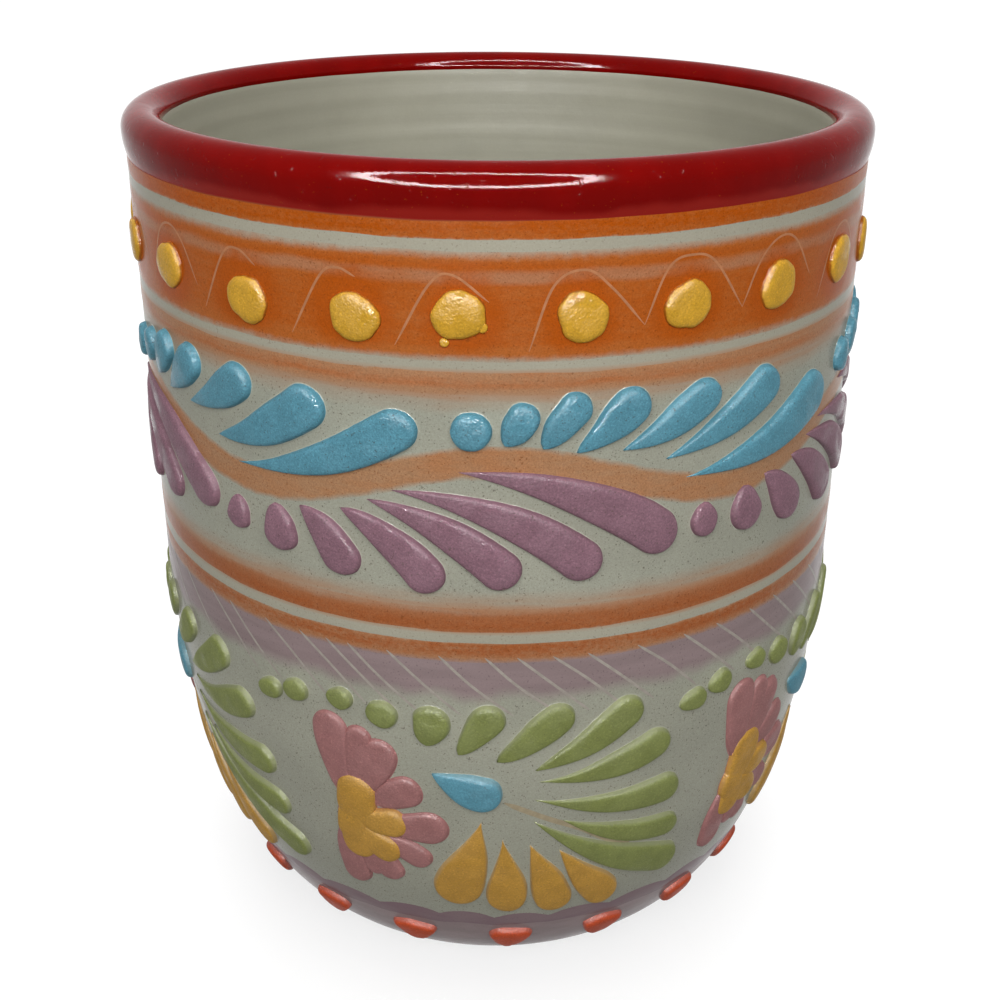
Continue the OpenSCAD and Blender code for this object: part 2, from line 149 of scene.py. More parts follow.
# Marks: tail, head, width, bow, sharpness of the tail
BLUE_MARKS = (
    ((-6, 22.6), (-0.6, 22.6), 3.9, 0, 0.5),
    ((1, 21.2), (4.6, 25.2), 3.4, 0, 0.6),
    ((6, 20.8), (11.6, 26), 3.5, 0.1, 0.6),
    ((10.5, 20.2), (19.5, 26), 3.9, -0.3, 0.8),
    ((16.8, 20), (30.6, 25.6), 4.0, -0.6, 0.95),
    ((23.2, 18.4), (41.7, 25.2), 4.2, -0.7, 1.0),
    ((26.5, 16), (54.7, 22), 5.4, -1.5, 1.35),
)
LAST_BLUE_MARKS = (
    ((23.7, 17.7), (42.7, 24.8), 4.8, -1, 0.9),
    ((27.5, 15.4), (55.7, 23.5), 4.6, -1.5, 1.35),
)
LILAC_MARKS = (
    ((-39.5, 11.5), (-39.5, 7.7), 3.1, 0, 0.5),
    ((-32.4, 12), (-30.8, 6.9), 4.1, 0, 0.5),
    ((-28, 12.5), (-20.3, 5.9), 4.2, 0.7, 0.75),
    ((-21.5, 13.2), (-8, 5.3), 4.3, 1, 0.75),
    ((-17.5, 14.6), (2.5, 6.2), 4.3, 1.4, 0.9),
    ((-14, 15.9), (13.7, 7), 4.4, 2.1, 1.05),
    ((-5, 18.3), (24.7, 8.8), 4.9, 2.1, 1.05),
)
GREEN_MARKS = (
    ((-38.3, 28.6), (-33.6, 29.5), 2.6, 0, 0.5),
    ((-33.1, 29.7), (-28.7, 30.5), 2.8, 0, 0.5),
    ((-25.3, 30.8), (-21, 30.7), 2.6, 0, 0.5),
    ((-19, 29.9), (-14.1, 29.7), 3.4, 0, 0.5),
    ((-10, 26.6), (-8.7, 31.5), 4, 0, 0.5),
    ((-5.4, 25.7), (0.4, 31.7), 3.5, 0, 0.6),
    ((0.2, 24.9), (10.7, 31.5), 3.7, -0.3, 0.6),
    ((5.9, 23.5), (21.2, 31.2), 4, -0.6, 0.9),
    ((6.6, 21.9), (26.8, 25.6), 4, -1, 1.35),
    ((6, 19.4), (29.9, 18.1), 4, -1, 1.35),
    ((10.5, 16.1), (31.2, 11.8), 3.5, -1, 1.1),
    ((6, 16.2), (33, 5.2), 4.6, -1.2, 1.1),
)
DROP_MARKS = (((-9.4, 22.8), (1, 19.8), 4.6, -0.3, 0.85),)
AMBER_MARKS = (
    ((-2.1, 16.2), (-7.6, 2.7), 6.3, 0.3, 1.3),
    ((1.2, 13.5), (2.5, 1.4), 5.1, 0.1, 1.4),
    ((5.6, 12.6), (11.7, 1.2), 4.8, -0.1, 1.15),
    ((10.4, 11.4), (20.9, 1.3), 4.7, -0.2, 1.1),
)

# Half flower: its middle, then strokes in millimetres about it
FLOWER_MIDDLE = (-22.5, 14.0)
PETAL_MARKS = (
    ((1, -3.5), (1.7, -8.3), 2.8, 0, 0.45),
    ((2, -3), (4.1, -8.6), 3.3, 0, 0.5),
    ((-1.4, -1.2), (-1.2, -10.7), 4.0, -0.35, 0.4),
    ((3, -1.8), (8.8, -4.8), 3.4, 0.1, 0.55),
    ((3.2, 0.5), (11.2, 0.8), 4.4, 0, 0.55),
    ((2.4, 3.2), (8.2, 6.5), 4.2, 0.2, 0.6),
    ((1.4, 4.2), (4.2, 12.2), 4.0, -0.2, 0.55),
    ((0.4, 4.5), (1.6, 13.5), 3.1, 0, 0.5),
    ((-0.9, 3.4), (-2.1, 14.5), 4.3, 0.2, 0.4),
)
HEART_MARKS = (
    ((-0.5, 2.5), (-0.6, -3.2), 4.0, 0, 0.35),
    ((-0.6, 0.5), (0.7, -5.6), 4.4, -0.2, 0.4),
    ((0, -0.6), (4.9, -4.7), 4.0, 0, 0.45),
    ((0.4, 0.6), (6.5, 0.9), 4.0, 0, 0.5),
    ((0, -1.5), (0.9, 6.9), 5.3, 0.1, 0.4),
)

# A faint yellow smear through the leaves, as turn and height
SMEAR = ((1.4, 19.1), (4.8, 17.8), (8.9, 16.2), (13.6, 14.4), (18.6, 11.8), (22.6, 10.5))
SMEAR_WIDTH = 0.7
SMEAR_LIFT = 0.012

# Rings of a mark from its skirt to its spine: share of the way in (below 0: millimetres outside the edge), share
# of the height (below 0: millimetres under the glaze)
MARK_RINGS = ((-0.17, -0.02), (-0.11, 0.01), (-0.03, 0.016), (-0.015, 0.04), (0.0, 0.12), (0.02, 0.32),
              (0.05, 0.52), (0.1, 0.69), (0.17, 0.82), (0.27, 0.91), (0.42, 0.965), (0.65, 0.99), (1.0, 1.0))
TAIL_ROWS = 19
HEAD_ROWS = 11

# Rings of a bead from its edge to its top: share of the way in (below 0: millimetres outside), share of the height
BEAD_RINGS = ((-0.012, -0.03), (0.0, 0.06), (0.01, 0.2), (0.04, 0.4), (0.08, 0.57), (0.14, 0.73), (0.23, 0.85),
              (0.36, 0.93), (0.54, 0.975), (0.75, 0.995), (1.0, 1.0))
BEAD_STEPS = 48

# Waves in the outline of a bead: how many round, share of the radius
BEAD_WAVES = ((2, 0.045), (3, 0.035), (5, 0.018), (7, 0.012), (11, 0.008))

# Yellow beads: how many, turn of the middle one, height of the row, lift of the beads over it
YELLOW_ROUND = 23
YELLOW_FIRST = -5.0
YELLOW_Z = 86.0
YELLOW_LIFT = 0.1

# Their spacing sways by so many degrees, once in so many beads, and the row sags by so many millimetres, with so
# many degrees to a bead
SWAY = 1.5
SWAY_BEADS = 7
SWAY_START = 51.0
SAG = 0.35
SAG_PACE = 51
SAG_START = 1.5

# Millimetres that single beads stand to the right and up
BEAD_NUDGES = {-3: (0, 0.35), -2: (0.5, -0.4), -1: (0.65, -0.45), 0: (-0.55, 0.1), 1: (0.3, -0.45),
               2: (0.1, -0.36), 4: (0, 0.5)}

# Drips beside a bead: turn, share of a bead and millimetres below the row, size, rise, seed
DRIPS = ((-6.6, 0.5, 0.05, 0.9, 0.3, 99), (-1.9, 0.0, 1.0, 1.1, 0.4, 98))

# Distances from a bead where the deeper orange round it begins and is full
BEAD_HALO = (6.2, 3.9)

# Red beads: how many, turn of the first, height of the row, share of the paint under them, how far they narrow
RED_ROUND = 19
RED_FIRST = 3.0
RED_Z = 7.2
RED_SEAT = 0.6
RED_SHIELD = 0.35

# Lines scratched through the paint, as turn and height
ARCS = (
    ((-43.5, 83.3), (-39, 89.3), (-36, 90.2), (-33, 88.9)),
    ((-27.5, 82.9), (-23, 88.9), (-20.5, 89.9), (-18, 89.2)),
    ((-13, 82.9), (-8.5, 88.9), (-5.5, 89.9), (-1, 87.4)),
    ((4, 82.6), (7, 88.9), (11, 90.3), (14.5, 88.4), (19, 84.6)),
    ((19, 84.6), (22, 89.9), (25.5, 90.9), (29, 89.9), (34, 84.9)),
    ((34, 84.9), (37, 89.4), (40.5, 91.2), (44, 90.4), (48, 86.4)),
)

# Arches at the back: numbers, turn of number 0, turn between two, lift of some, share of a scratch's width, line
BACK_ARCHES = range(3, 20)
ARCH_FIRST = 11.0
ARCH_STEP = 15.65
ARCH_LIFT = 0.4
ARCH_WIDTH = 0.8
ARCH = ((-7, 83.4), (-3.6, 89), (0, 90.4), (3.4, 89), (6.6, 85))

# Slants: turns of their tops at the front, first and last turn and gaps at the back, heights, lean in degrees,
# bend
SLANTS = (-49, -44, -36, -29.5, -25, -21.5, -15.5, -8, -1.5, 3, 8, 13, 20.5, 28, 34, 41, 47)
BACK_SLANTS = (53.0, 306.0)
SLANT_GAPS = (4.8, 8.0)
SLANT_HEIGHTS = (49.7, 46.4, 42.7)
SLANT_LEAN = (5.0, 10.6)
SLANT_BEND = 0.5

# Bounds of a random phase
PHASE = (0, 6.28)

# Roughness of the glaze beside a mark
SKIRT_ROUGH = 0.2

# Floor in metres, and its glow: from this distance to that one it rises from one share to another
FLOOR_HALF = 6.0
# The second ramp dims the glow round the foot, a painted contact shadow
FLOOR_GLOW_AND_SHADOW = ((0.1, 0.6, 0.86, 1.0), (0.024, 0.045, 0.84, 1.0))

# Lamps in metres: places, the point that the soft ones face, sizes
LAMPS = {"front_lamp": (0.0, -0.29, 0.25), "back_lamp": (0.0, 0.29, 0.25), "top_lamp": (0.0, 0.0, 0.55)}
LAMP_AIM = (0.0, 0.0, 0.05)
SOFT_SIZE = (0.42, 0.16)
TOP_SIZE = 0.3

# Loop lamp in metres: middle, the point it faces, radius, half of its width, how much thinner it is at the top
LOOP_MIDDLE = (-0.053, -0.51, 0.471)
LOOP_AIM = (0.0, -0.043, 0.098)
LOOP_R = 0.353
LOOP_HALF = 0.045
LOOP_THIN = 0.4
LOOP_STEPS = 64

# Camera: place in metres, degrees of pitch, yaw and roll, millimetres of lens and sensor, shift in frames
CAMERA_PLACE = (0.0, -0.16125, 0.1235)
CAMERA_TURN = (20.99, 0.144, 0.306)
CAMERA_LENS = 49.01
CAMERA_SENSOR = 36.0
CAMERA_SHIFT = -0.1
CAMERA_NEAR = 0.01


def srgb(*levels):
    """Linear colour from three display levels between 0 and 255."""
    return tuple(c / 12.92 if c <= 0.04045 else ((c + 0.055) / 1.055) ** 2.4 for c in (v / 255 for v in levels))


def length(name, description, default, low, high):
    """A size property in metres."""
    return FloatProperty(name=name, description=description, default=default, min=low, max=high, unit="LENGTH",
                         precision=5)


def colour(name, description, default):
    """A colour property."""
    return FloatVectorProperty(name=name, description=description, default=default, size=3, min=0.0, max=1.0,
                               subtype="COLOR")


def strength(name, description, default, high, unit="NONE"):
    """A lamp property."""
    return FloatProperty(name=name, description=description, default=default, min=0.0, max=high, unit=unit)


class TumblerSizes(bpy.types.PropertyGroup):
    """Sizes of the glaze, the paint and the raised slip"""

    rim_coat: length("Lip glaze", "Thickness of the red glaze on the lip", 0.0004, 0.0002, 0.0008)
    paint_lift: length("Paint", "Thickness of a painted slip band", 0.00003, 0.00002, 0.0003)
    edge_wobble: length("Brush wobble", "How far the edge of a band strays from its line", 0.00009, 0.0, 0.001)
    plume_rise: length("Plumes", "How far plumes stand out", 0.00095, 0.0004, 0.0015)
    leaf_rise: length("Leaves", "How far leaves and petals stand out", 0.00075, 0.0004, 0.0015)
    yellow_bead: length("Yellow bead", "Diameter of a yellow bead", 0.005, 0.004, 0.0065)
    yellow_rise: length("Yellow bead height", "How far a yellow bead stands out", 0.0007, 0.0004, 0.0016)
    red_bead: length("Red bead", "Diameter of a red bead", 0.0047, 0.0036, 0.0058)
    red_rise: length("Red bead height", "How far a red bead stands out", 0.0008, 0.0006, 0.0018)
    scratch: length("Scratch", "Width of a line scratched through the paint", 0.0003, 0.0001, 0.0006)


class TumblerColours(bpy.types.PropertyGroup):
    """Colours of the glaze and the slips"""

    ground: colour("Ground", "Bare glaze on the outside", srgb(163, 163, 148))
    speck: colour("Specks", "Dark specks in the glaze", srgb(84, 74, 62))
    lining: colour("Lining", "Glaze on the inside", srgb(163, 161, 145))
    bare_clay: colour("Bare clay", "Unglazed clay under the foot", srgb(176, 160, 136))
    red: colour("Red", "Glaze on the lip", srgb(122, 4, 2))
    # Plum: a painted reflection of the pale floor on the lower part of the red glaze
    plum_reflection: colour("Plum", "Lower edge of the red glaze", srgb(147, 32, 24))
    orange: colour("Orange", "Painted stripes", srgb(174, 80, 12))
    peach: colour("Peach", "Thin brush streaks in the orange", srgb(178, 104, 50))
    tan: colour("Tan", "Wave ribbon and thin orange", srgb(172, 131, 97))
    wash: colour("Wash", "Lilac wash", srgb(146, 128, 128))
    purple: colour("Purple", "Scalloped strokes round the foot", srgb(131, 106, 112))
    yellow: colour("Yellow", "Beads on the orange band", srgb(204, 156, 49))
    coral: colour("Coral", "Beads round the foot", srgb(188, 76, 42))
    blue: colour("Blue", "Plumes and drops", srgb(90, 145, 163))
    lilac: colour("Lilac", "Lower plumes", srgb(138, 104, 116))
    green: colour("Green", "Dots and leaves", srgb(125, 133, 76))
    amber: colour("Amber", "Petals and flower hearts", srgb(186, 141, 61))
    pink: colour("Pink", "Flower petals", srgb(158, 110, 108))


class TumblerStage(bpy.types.PropertyGroup):
    """Floor and lamps"""

    floor: colour("Floor", "Colour of the floor", (0.2, 0.2, 0.2))
    sky: strength("Room light", "Strength of the even light", 0.3, 2.0)
    key: strength("Soft lamp", "Power of each large lamp", 1.0, 50.0, "POWER")
    top: strength("Top lamp", "Power of the lamp overhead, which reaches the floor inside", 0.5, 50.0, "POWER")
    loop: strength("Loop lamp", "Strength of the loop that shines in the glaze", 300.0, 1000.0)


def shade(base, factor):
    """A colour made lighter or darker."""
    return tuple(min(1.0, c * factor) for c in base)


def blended(share, first, second):
    """A colour part of the way from one to another."""
    return tuple(a + share * (b - a) for a, b in zip(first, second))


# Shapes


def wall_radius(z):
    """Radius of the clay outside at a height."""
    z = np.asarray(z, float)
    drop = BELLY_H + FOOT_CUT
    share = math.sqrt(1 - (BELLY_H / drop) ** 2)
    bulge = (BELLY_R - FOOT_R) / (1 - share)
    below = BELLY_R - bulge * (1 - np.sqrt(1 - np.clip((BELLY_H - z) / drop, 0, 1) ** 2))
    above = BELLY_R + (RIM_R - BELLY_R) * (z - BELLY_H) / (LIP_Z - BELLY_H)
    return np.where(z < BELLY_H, below, above)


def on_wall(turn, z, out):
    """Points on the outside: turn in degrees, height and distance out along the wall's normal."""
    turn, z, out = np.broadcast_arrays(np.radians(turn), np.asarray(z, float), np.asarray(out, float))
    probe = 0.2
    slope = (wall_radius(z + probe) - wall_radius(z - probe)) / (2 * probe)
    steep = np.hypot(1, slope)
    r = wall_radius(z) + out / steep
    return np.stack([r * np.sin(turn), -r * np.cos(turn), z - out * slope / steep], axis=-1)


def cavity_radius(z):
    """Radius of the clay inside at a height."""
    z = np.asarray(z, float)
    inner = BELLY_R - WALL_T
    below = FLOOR_R + (inner - FLOOR_R) * np.sqrt(1 - np.clip((BELLY_H - z) / (BELLY_H - FLOOR_T), 0, 1) ** 2)
    above = inner + (RIM_R - BELLY_R) * (z - BELLY_H) / (LIP_Z - BELLY_H)
    return np.where(z < BELLY_H, below, above)


def cavity_floor(offset, steps):
    """Points of (radius, height) from the belly down to the flat floor inside, moved in from the clay."""
    across, down = BELLY_R - WALL_T - FLOOR_R, BELLY_H - FLOOR_T
    points = []
    for t in np.linspace(0, math.pi / 2, steps)[1:]:
        away = np.array([-math.cos(t) / across, math.sin(t) / down])
        spot = np.array([FLOOR_R + across * math.cos(t), BELLY_H - down * math.sin(t)])
        points.append(tuple(spot + offset(spot[1]) * away / np.linalg.norm(away)))
    return points


def hand(turn, seed, amount, waves=(3, 5, 8, 13, 21, 34)):
    """A small wander that closes on itself round the cup, as a hand leaves it."""
    pick = random.Random(seed)
    turn = np.radians(turn)
    total = sum(pick.uniform(0.5, 1) * np.sin(k * turn + pick.uniform(*PHASE)) for k in waves)
    return amount * total / math.sqrt(len(waves))


def smooth(x):
    """Soft step from 0 to 1."""
    x = np.clip(x, 0, 1)
    return x * x * (3 - 2 * x)


def quads(rows, columns, close_rows=False, close_columns=False):
    """Faces of a grid of points."""
    last_row = rows if close_rows else rows - 1
    last_column = columns if close_columns else columns - 1
    return [
        (i * columns + j, (i + 1) % rows * columns + j, (i + 1) % rows * columns + (j + 1) % columns,
         i * columns + (j + 1) % columns)
        for i in range(last_row) for j in range(last_column)
    ]


def make_piece(name, grids, material, nodes=(), edges=None):
    """One object out of grids of points in millimetres, each (points, faces), riding on the cup."""
    points, faces = [], []
    for spots, cells in grids:
        start = sum(len(p) for p in points)
        points.append(np.asarray(spots, float).reshape(-1, 3))
        faces += [tuple(start + k for k in cell) for cell in cells]
    mesh = bpy.data.meshes.new(name)
    mesh.from_pydata((np.concatenate(points) * MM).tolist(), [], faces)
    mesh.validate()
    mesh.shade_smooth()
    if edges is not None:
        store = mesh.attributes.new("edge", "FLOAT", "POINT")
        store.data.foreach_set("value", np.concatenate([np.ravel(e) for e in edges]).astype(np.float32))
    mesh.materials.append(material)
    piece = bpy.data.objects.new(name, mesh)
    bpy.context.scene.collection.objects.link(piece)
    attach(piece, "root")
    if nodes:
        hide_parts(*nodes)
    return piece


def raised_piece(name, made, material, node):
    """One object out of marks or beads, each a grid and how far in from the edge its points are."""
    grids, edges = zip(*made)
    return make_piece(name, grids, material, (node,), edges)


def all_round(steps=STEPS):
    """Turns in degrees, evenly round the cup."""
    return np.linspace(0, 360, steps, endpoint=False)


def turned(profile):
    """Grid of a profile of (radius, height) turned about the axis."""
    turn = np.linspace(0, 2 * math.pi, STEPS, endpoint=False)[:, None]
    profile = np.asarray(profile, float)
    r, z = profile[:, 0], profile[:, 1]
    spots = np.stack([r * np.sin(turn), -r * np.cos(turn), z + 0 * turn], axis=-1)
    return spots, quads(STEPS, len(profile), close_rows=True)


def painted_shell(low, high, lift, steps=STEPS, taper=1.0):
    """Grid of a coat of paint between two wandering edges, which thins out at both."""
    turn = all_round(steps)
    low, high = np.broadcast_to(low, steps), np.broadcast_to(high, steps)
    width = float(np.mean(high - low))
    taper = min(taper, 0.4 * width)
    rim = np.array([0, 0.24, 0.56, 1.0]) * taper / width
    inner = np.linspace(rim[-1], 1 - rim[-1], max(3, int(width / 0.8) + 2))[1:-1]
    share = np.concatenate([rim, inner, 1 - rim[::-1]])
    near = np.minimum(share, 1 - share) * width
    out = (lift + PAINT_SINK) * smooth(near / taper) - PAINT_SINK
    z = low[:, None] + (high - low)[:, None] * share
    return on_wall(turn[:, None], z, out[None, :]), quads(steps, len(share), close_rows=True)


def slip_mark(mark, foot, turn, rise, seed):
    """Grid of one squeezed mark: rings that climb from a skirt on the wall to its spine."""
    tail, head, width, bow, sharp = mark
    a = np.array([tail[0] * DEGREE, tail[1]])
    b = np.array([head[0] * DEGREE, head[1]])
    half = width / 2
    reach = np.linalg.norm(b - a)
    c = (a + b) / 2 + 2 * bow * np.array([a[1] - b[1], b[0] - a[0]]) / reach
    neck = max(0.5, 1 - half / reach)
    tail_share = neck * np.linspace(0, 1, TAIL_ROWS) ** 0.9
    cap = np.linspace(0, math.pi / 2, HEAD_ROWS)[1:]
    share = np.concatenate([tail_share, neck + (1 - neck) * np.sin(cap)])
    swell = np.concatenate([np.sin(math.pi / 2 * tail_share / neck) ** sharp, np.cos(cap)])
    pick = random.Random(seed)
    phase = [pick.uniform(*PHASE) for _ in range(4)]

    def spot(t):
        t = t[:, None]
        return (1 - t) ** 2 * a + 2 * t * (1 - t) * c + t * t * b

    def out_to(side, slow, fast, slow_phase, fast_phase):
        wave = 0.05 * np.sin(slow * share + slow_phase) + 0.03 * np.sin(fast * share + fast_phase)
        return spot(share) + (half * swell * (1 + wave))[:, None] * side

    def both_ways(row):
        return np.concatenate([row, row[-2:0:-1]])

    way = (1 - share)[:, None] * (c - a) + share[:, None] * (b - c)
    way = way / np.linalg.norm(way, axis=1, keepdims=True)
    side = np.stack([-way[:, 1], way[:, 0]], axis=1)
    left = out_to(side, 5, 11, phase[0], phase[1])
    right = out_to(-side, 4, 9, phase[2], phase[3])
    outline = np.concatenate([left, right[-2:0:-1]])
    middle = np.clip(share, 0.07 * neck, neck)
    spine = both_ways(spot(middle))
    full = both_ways(np.sin(math.pi / 2 * np.clip(middle / neck, 0, 1)) ** sharp)
    climb = rise * (0.06 + 0.94 * full ** 0.7) * (1 + 0.05 * np.sin(6 * both_ways(share) + phase[1]))
    away = outline - spine
    away = away / np.maximum(np.linalg.norm(away, axis=1, keepdims=True), 1e-6)
    rings, edges = [], []
    for inset, height in MARK_RINGS:
        flat = outline - inset * away if inset < 0 else outline + inset * (spine - outline)
        out = height * climb if height > 0 else height
        rings.append(on_wall(turn + flat[:, 0] / DEGREE, foot + flat[:, 1], out))
        edges.append(np.full(len(flat), inset))
    return (np.stack(rings), quads(len(rings), len(outline), close_columns=True)), np.stack(edges)


def slip_marks(name, marks, foot, turn, rise, material):
    """A row of squeezed marks as one piece."""
    made = [slip_mark(m, foot, turn, rise, zlib.crc32(f"{name}{k}".encode())) for k, m in enumerate(marks)]
    return raised_piece(name, made, material, name)


def at_flower(marks):
    """Marks about the middle of a half flower, as marks of the field."""
    x, y = FLOWER_MIDDLE
    return tuple(((x + a[0] / DEGREE, y + a[1]), (x + b[0] / DEGREE, y + b[1]), *rest) for a, b, *rest in marks)


def bead(turn, z, size, rise, seed, seat, shield=0.0):
    """Grid of one bead with an uneven edge, seated on the paint. A shield is flat on top and narrow below."""
    pick = random.Random(seed)
    angle = np.linspace(0, 2 * math.pi, BEAD_STEPS, endpoint=False)
    uneven = sum(a * np.sin(k * angle + pick.uniform(*PHASE)) for k, a in BEAD_WAVES)
    lean = (pick.uniform(-0.12, 0.12), pick.uniform(-0.12, 0.12))
    rings, edges = [], []
    for inset, height in BEAD_RINGS:
        inward = max(inset, 0)
        r = size / 2 * (1 + uneven) * (1 - inward) + max(-inset, 0)
        x = r * np.cos(angle)
        y = r * np.sin(angle)
        x = x * (1 + shield * y / size * 2) + lean[0] * inward
        y = y * np.where(y > 0, 1 - 0.7 * shield, 1 + 0.4 * shield) + lean[1] * inward
        rings.append(on_wall(turn + np.degrees(x / wall_radius(z)), z + y, seat + height * rise))
        edges.append(np.full(len(angle), inset))
    return (np.stack(rings), quads(len(rings), len(angle), close_columns=True)), np.stack(edges)


def scratch_line(points, width, out):
    """Grid of a thin line through points of turn and height, pointed at both ends."""
    points = np.asarray(points, float)
    ends = np.vstack([2 * points[0] - points[1], points, 2 * points[-1] - points[-2]])
    t = np.linspace(0, 1, 24, endpoint=False)[:, None]
    line = []
    for p, q, r, s in zip(ends, ends[1:], ends[2:], ends[3:]):
        line.append(0.5 * (2 * q + (r - p) * t + (2 * p - 5 * q + 4 * r - s) * t ** 2
                           + (3 * q - p - 3 * r + s) * t ** 3))
    line = np.vstack(line + [points[-1:]])
    flat = np.stack([np.radians(line[:, 0]) * wall_radius(line[:, 1]), line[:, 1]], axis=1)
    run = np.gradient(flat, axis=0)
    side = np.stack([-run[:, 1], run[:, 0]], axis=1) / np.linalg.norm(run, axis=1, keepdims=True)
    share = np.linspace(0, 1, len(flat))
    half = width / 2 * np.clip(8 * np.minimum(share, 1 - share) + 0.25, 0, 1)
    rows = []
    for s, lift in ((-1, 0.004), (0, 0.012), (1, 0.004)):
        p = flat + s * half[:, None] * side
        rows.append(on_wall(np.degrees(p[:, 0] / wall_radius(line[:, 1])), p[:, 1], out + lift))
    return np.stack(rows), quads(3, len(flat))


# Finishes


class Nodes:
    """A node tree, put together node by node."""

    def __init__(self, tree):
        self.tree = tree

    def node(self, kind, **settings):
        made = self.tree.nodes.new(kind)
        for key, value in settings.items():
            setattr(made, key, value)
        return made

    def put(self, value, socket):
        """Links a socket, or sets a number or colour."""
        if isinstance(value, bpy.types.NodeSocket):
            self.tree.links.new(value, socket)
        elif socket.type == "RGBA":
            socket.default_value = (*value, 1.0)
        else:
            socket.default_value = value

    def math(self, kind, *values):
        made = self.node("ShaderNodeMath", operation=kind)
        for value, socket in zip(values, made.inputs):
            self.put(value, socket)
        return made.outputs[0]

    def times(self, *values):
        total = values[0]
        for value in values[1:]:
            total = self.math("MULTIPLY", total, value)
        return total

    def step(self, value, start, end, low=0.0, high=1.0):
        """Runs softly from one level to another while the value goes from start to end."""
        made = self.node("ShaderNodeMapRange", interpolation_type="SMOOTHSTEP")
        for socket, number in zip(made.inputs, (value, start, end, low, high)):
            self.put(number, socket)
        return made.outputs[0]


class Finish(Nodes):
    """One procedural material, measured in millimetres on the cup."""

    def __init__(self, name, specular=0.03):
        self.material = bpy.data.materials.new(name)
        self.material.use_nodes = True
        super().__init__(self.material.node_tree)
        self.shader = self.tree.nodes["Principled BSDF"]
        self.shader.inputs["Specular IOR Level"].default_value = specular
        self.place = self.vector("SCALE", self.node("ShaderNodeTexCoord").outputs["Object"], 1 / MM)
        split = self.node("ShaderNodeSeparateXYZ")
        self.put(self.place, split.inputs[0])
        x, y, self.z = split.outputs
        self.turn = self.math("ARCTAN2", x, self.math("MULTIPLY", y, -1.0))
        self.heights = []

    def vector(self, kind, first, second):
        made = self.node("ShaderNodeVectorMath", operation=kind)
        self.put(first, made.inputs[0])
        self.put(second, made.inputs["Scale"] if kind == "SCALE" else made.inputs[1])
        return made.outputs[0]

    def noise(self, scale, detail=2.0, stretch=None, shift=0.0, rough=0.5):
        """Noise, drawn out by a share of its scale round the cup and another one up it."""
        place = self.place
        if stretch:
            place = self.vector("MULTIPLY", place, (stretch[0], *stretch))
        if shift:
            place = self.vector("ADD", place, (shift, -shift, shift))
        made = self.node("ShaderNodeTexNoise")
        for key, value in (("Vector", place), ("Scale", scale), ("Detail", detail), ("Roughness", rough)):
            self.put(value, made.inputs[key])
        return made.outputs["Fac"]

    def stray(self, amount, *scale, **settings):
        """Noise that strays this far to both sides of 0."""
        return self.math("MULTIPLY_ADD", self.noise(*scale, **settings), 2 * amount, -amount)

    def apart(self, first, second):
        return self.math("ABSOLUTE", self.math("SUBTRACT", first, second))

    def mix(self, share, first, second):
        made = self.node("ShaderNodeMix", data_type="RGBA")
        self.put(share, made.inputs[0])
        self.put(first, made.inputs[6])
        self.put(second, made.inputs[7])
        return made.outputs[2]

    def varied(self, share, base, amount):
        """A colour that runs from this much darker to this much lighter."""
        return self.mix(share, shade(base, 1 - amount), shade(base, 1 + amount))

    def edge(self):
        return self.node("ShaderNodeAttribute", attribute_name="edge").outputs["Fac"]

    def relief(self, height, distance):
        """Adds bumps of this depth in millimetres."""
        self.heights.append((height, distance))

    def done(self, base, roughness):
        self.put(base, self.shader.inputs["Base Color"])
        self.put(roughness, self.shader.inputs["Roughness"])
        normal = None
        for height, distance in self.heights:
            bump = self.node("ShaderNodeBump")
            self.put(distance * MM, bump.inputs["Distance"])
            self.put(height, bump.inputs["Height"])
            if normal:
                self.put(normal, bump.inputs["Normal"])
            normal = bump.outputs[0]
        if normal:
            self.put(normal, self.shader.inputs["Normal"])
        return self.material

    def gloss(self, low=0.16, high=0.26):
        """Roughness that drifts a little over the glaze."""
        return self.step(self.noise(0.35, shift=7.0), 0.3, 0.7, low, high)


def speckled(f, tone, dark, share, grain):
    """A tone with a fine grain and dark specks of two sizes."""
    fine = f.noise(5.4, shift=3.0, rough=0.7)
    tone = f.vector("SCALE", tone, f.math("MULTIPLY_ADD", fine, 2 * grain, 1 - grain))
    small = f.step(f.noise(5.0, 0.0, shift=11.0), 0.72, 0.79, 0.0, share)
    large = f.step(f.noise(2.1, 1.0, shift=27.0), 0.73, 0.77, 0.0, share * 0.8)
    return f.mix(f.math("MAXIMUM", small, large), tone, dark)


def fine_skin(f):
    """Faint ripple of the glaze."""
    f.relief(f.noise(0.8, shift=5.0), 0.0192)
    f.relief(f.noise(3.2, 1.0, shift=2.0), 0.0048)


def bare_glaze(f, colours):
    """Colour of the bare glaze: cloudy grey-green with a fine grain and dark specks."""
    tone = f.varied(f.step(f.noise(0.09, 3.0), 0.35, 0.68), colours.ground, 0.05)
    return speckled(f, tone, colours.speck, 0.6, 0.3)


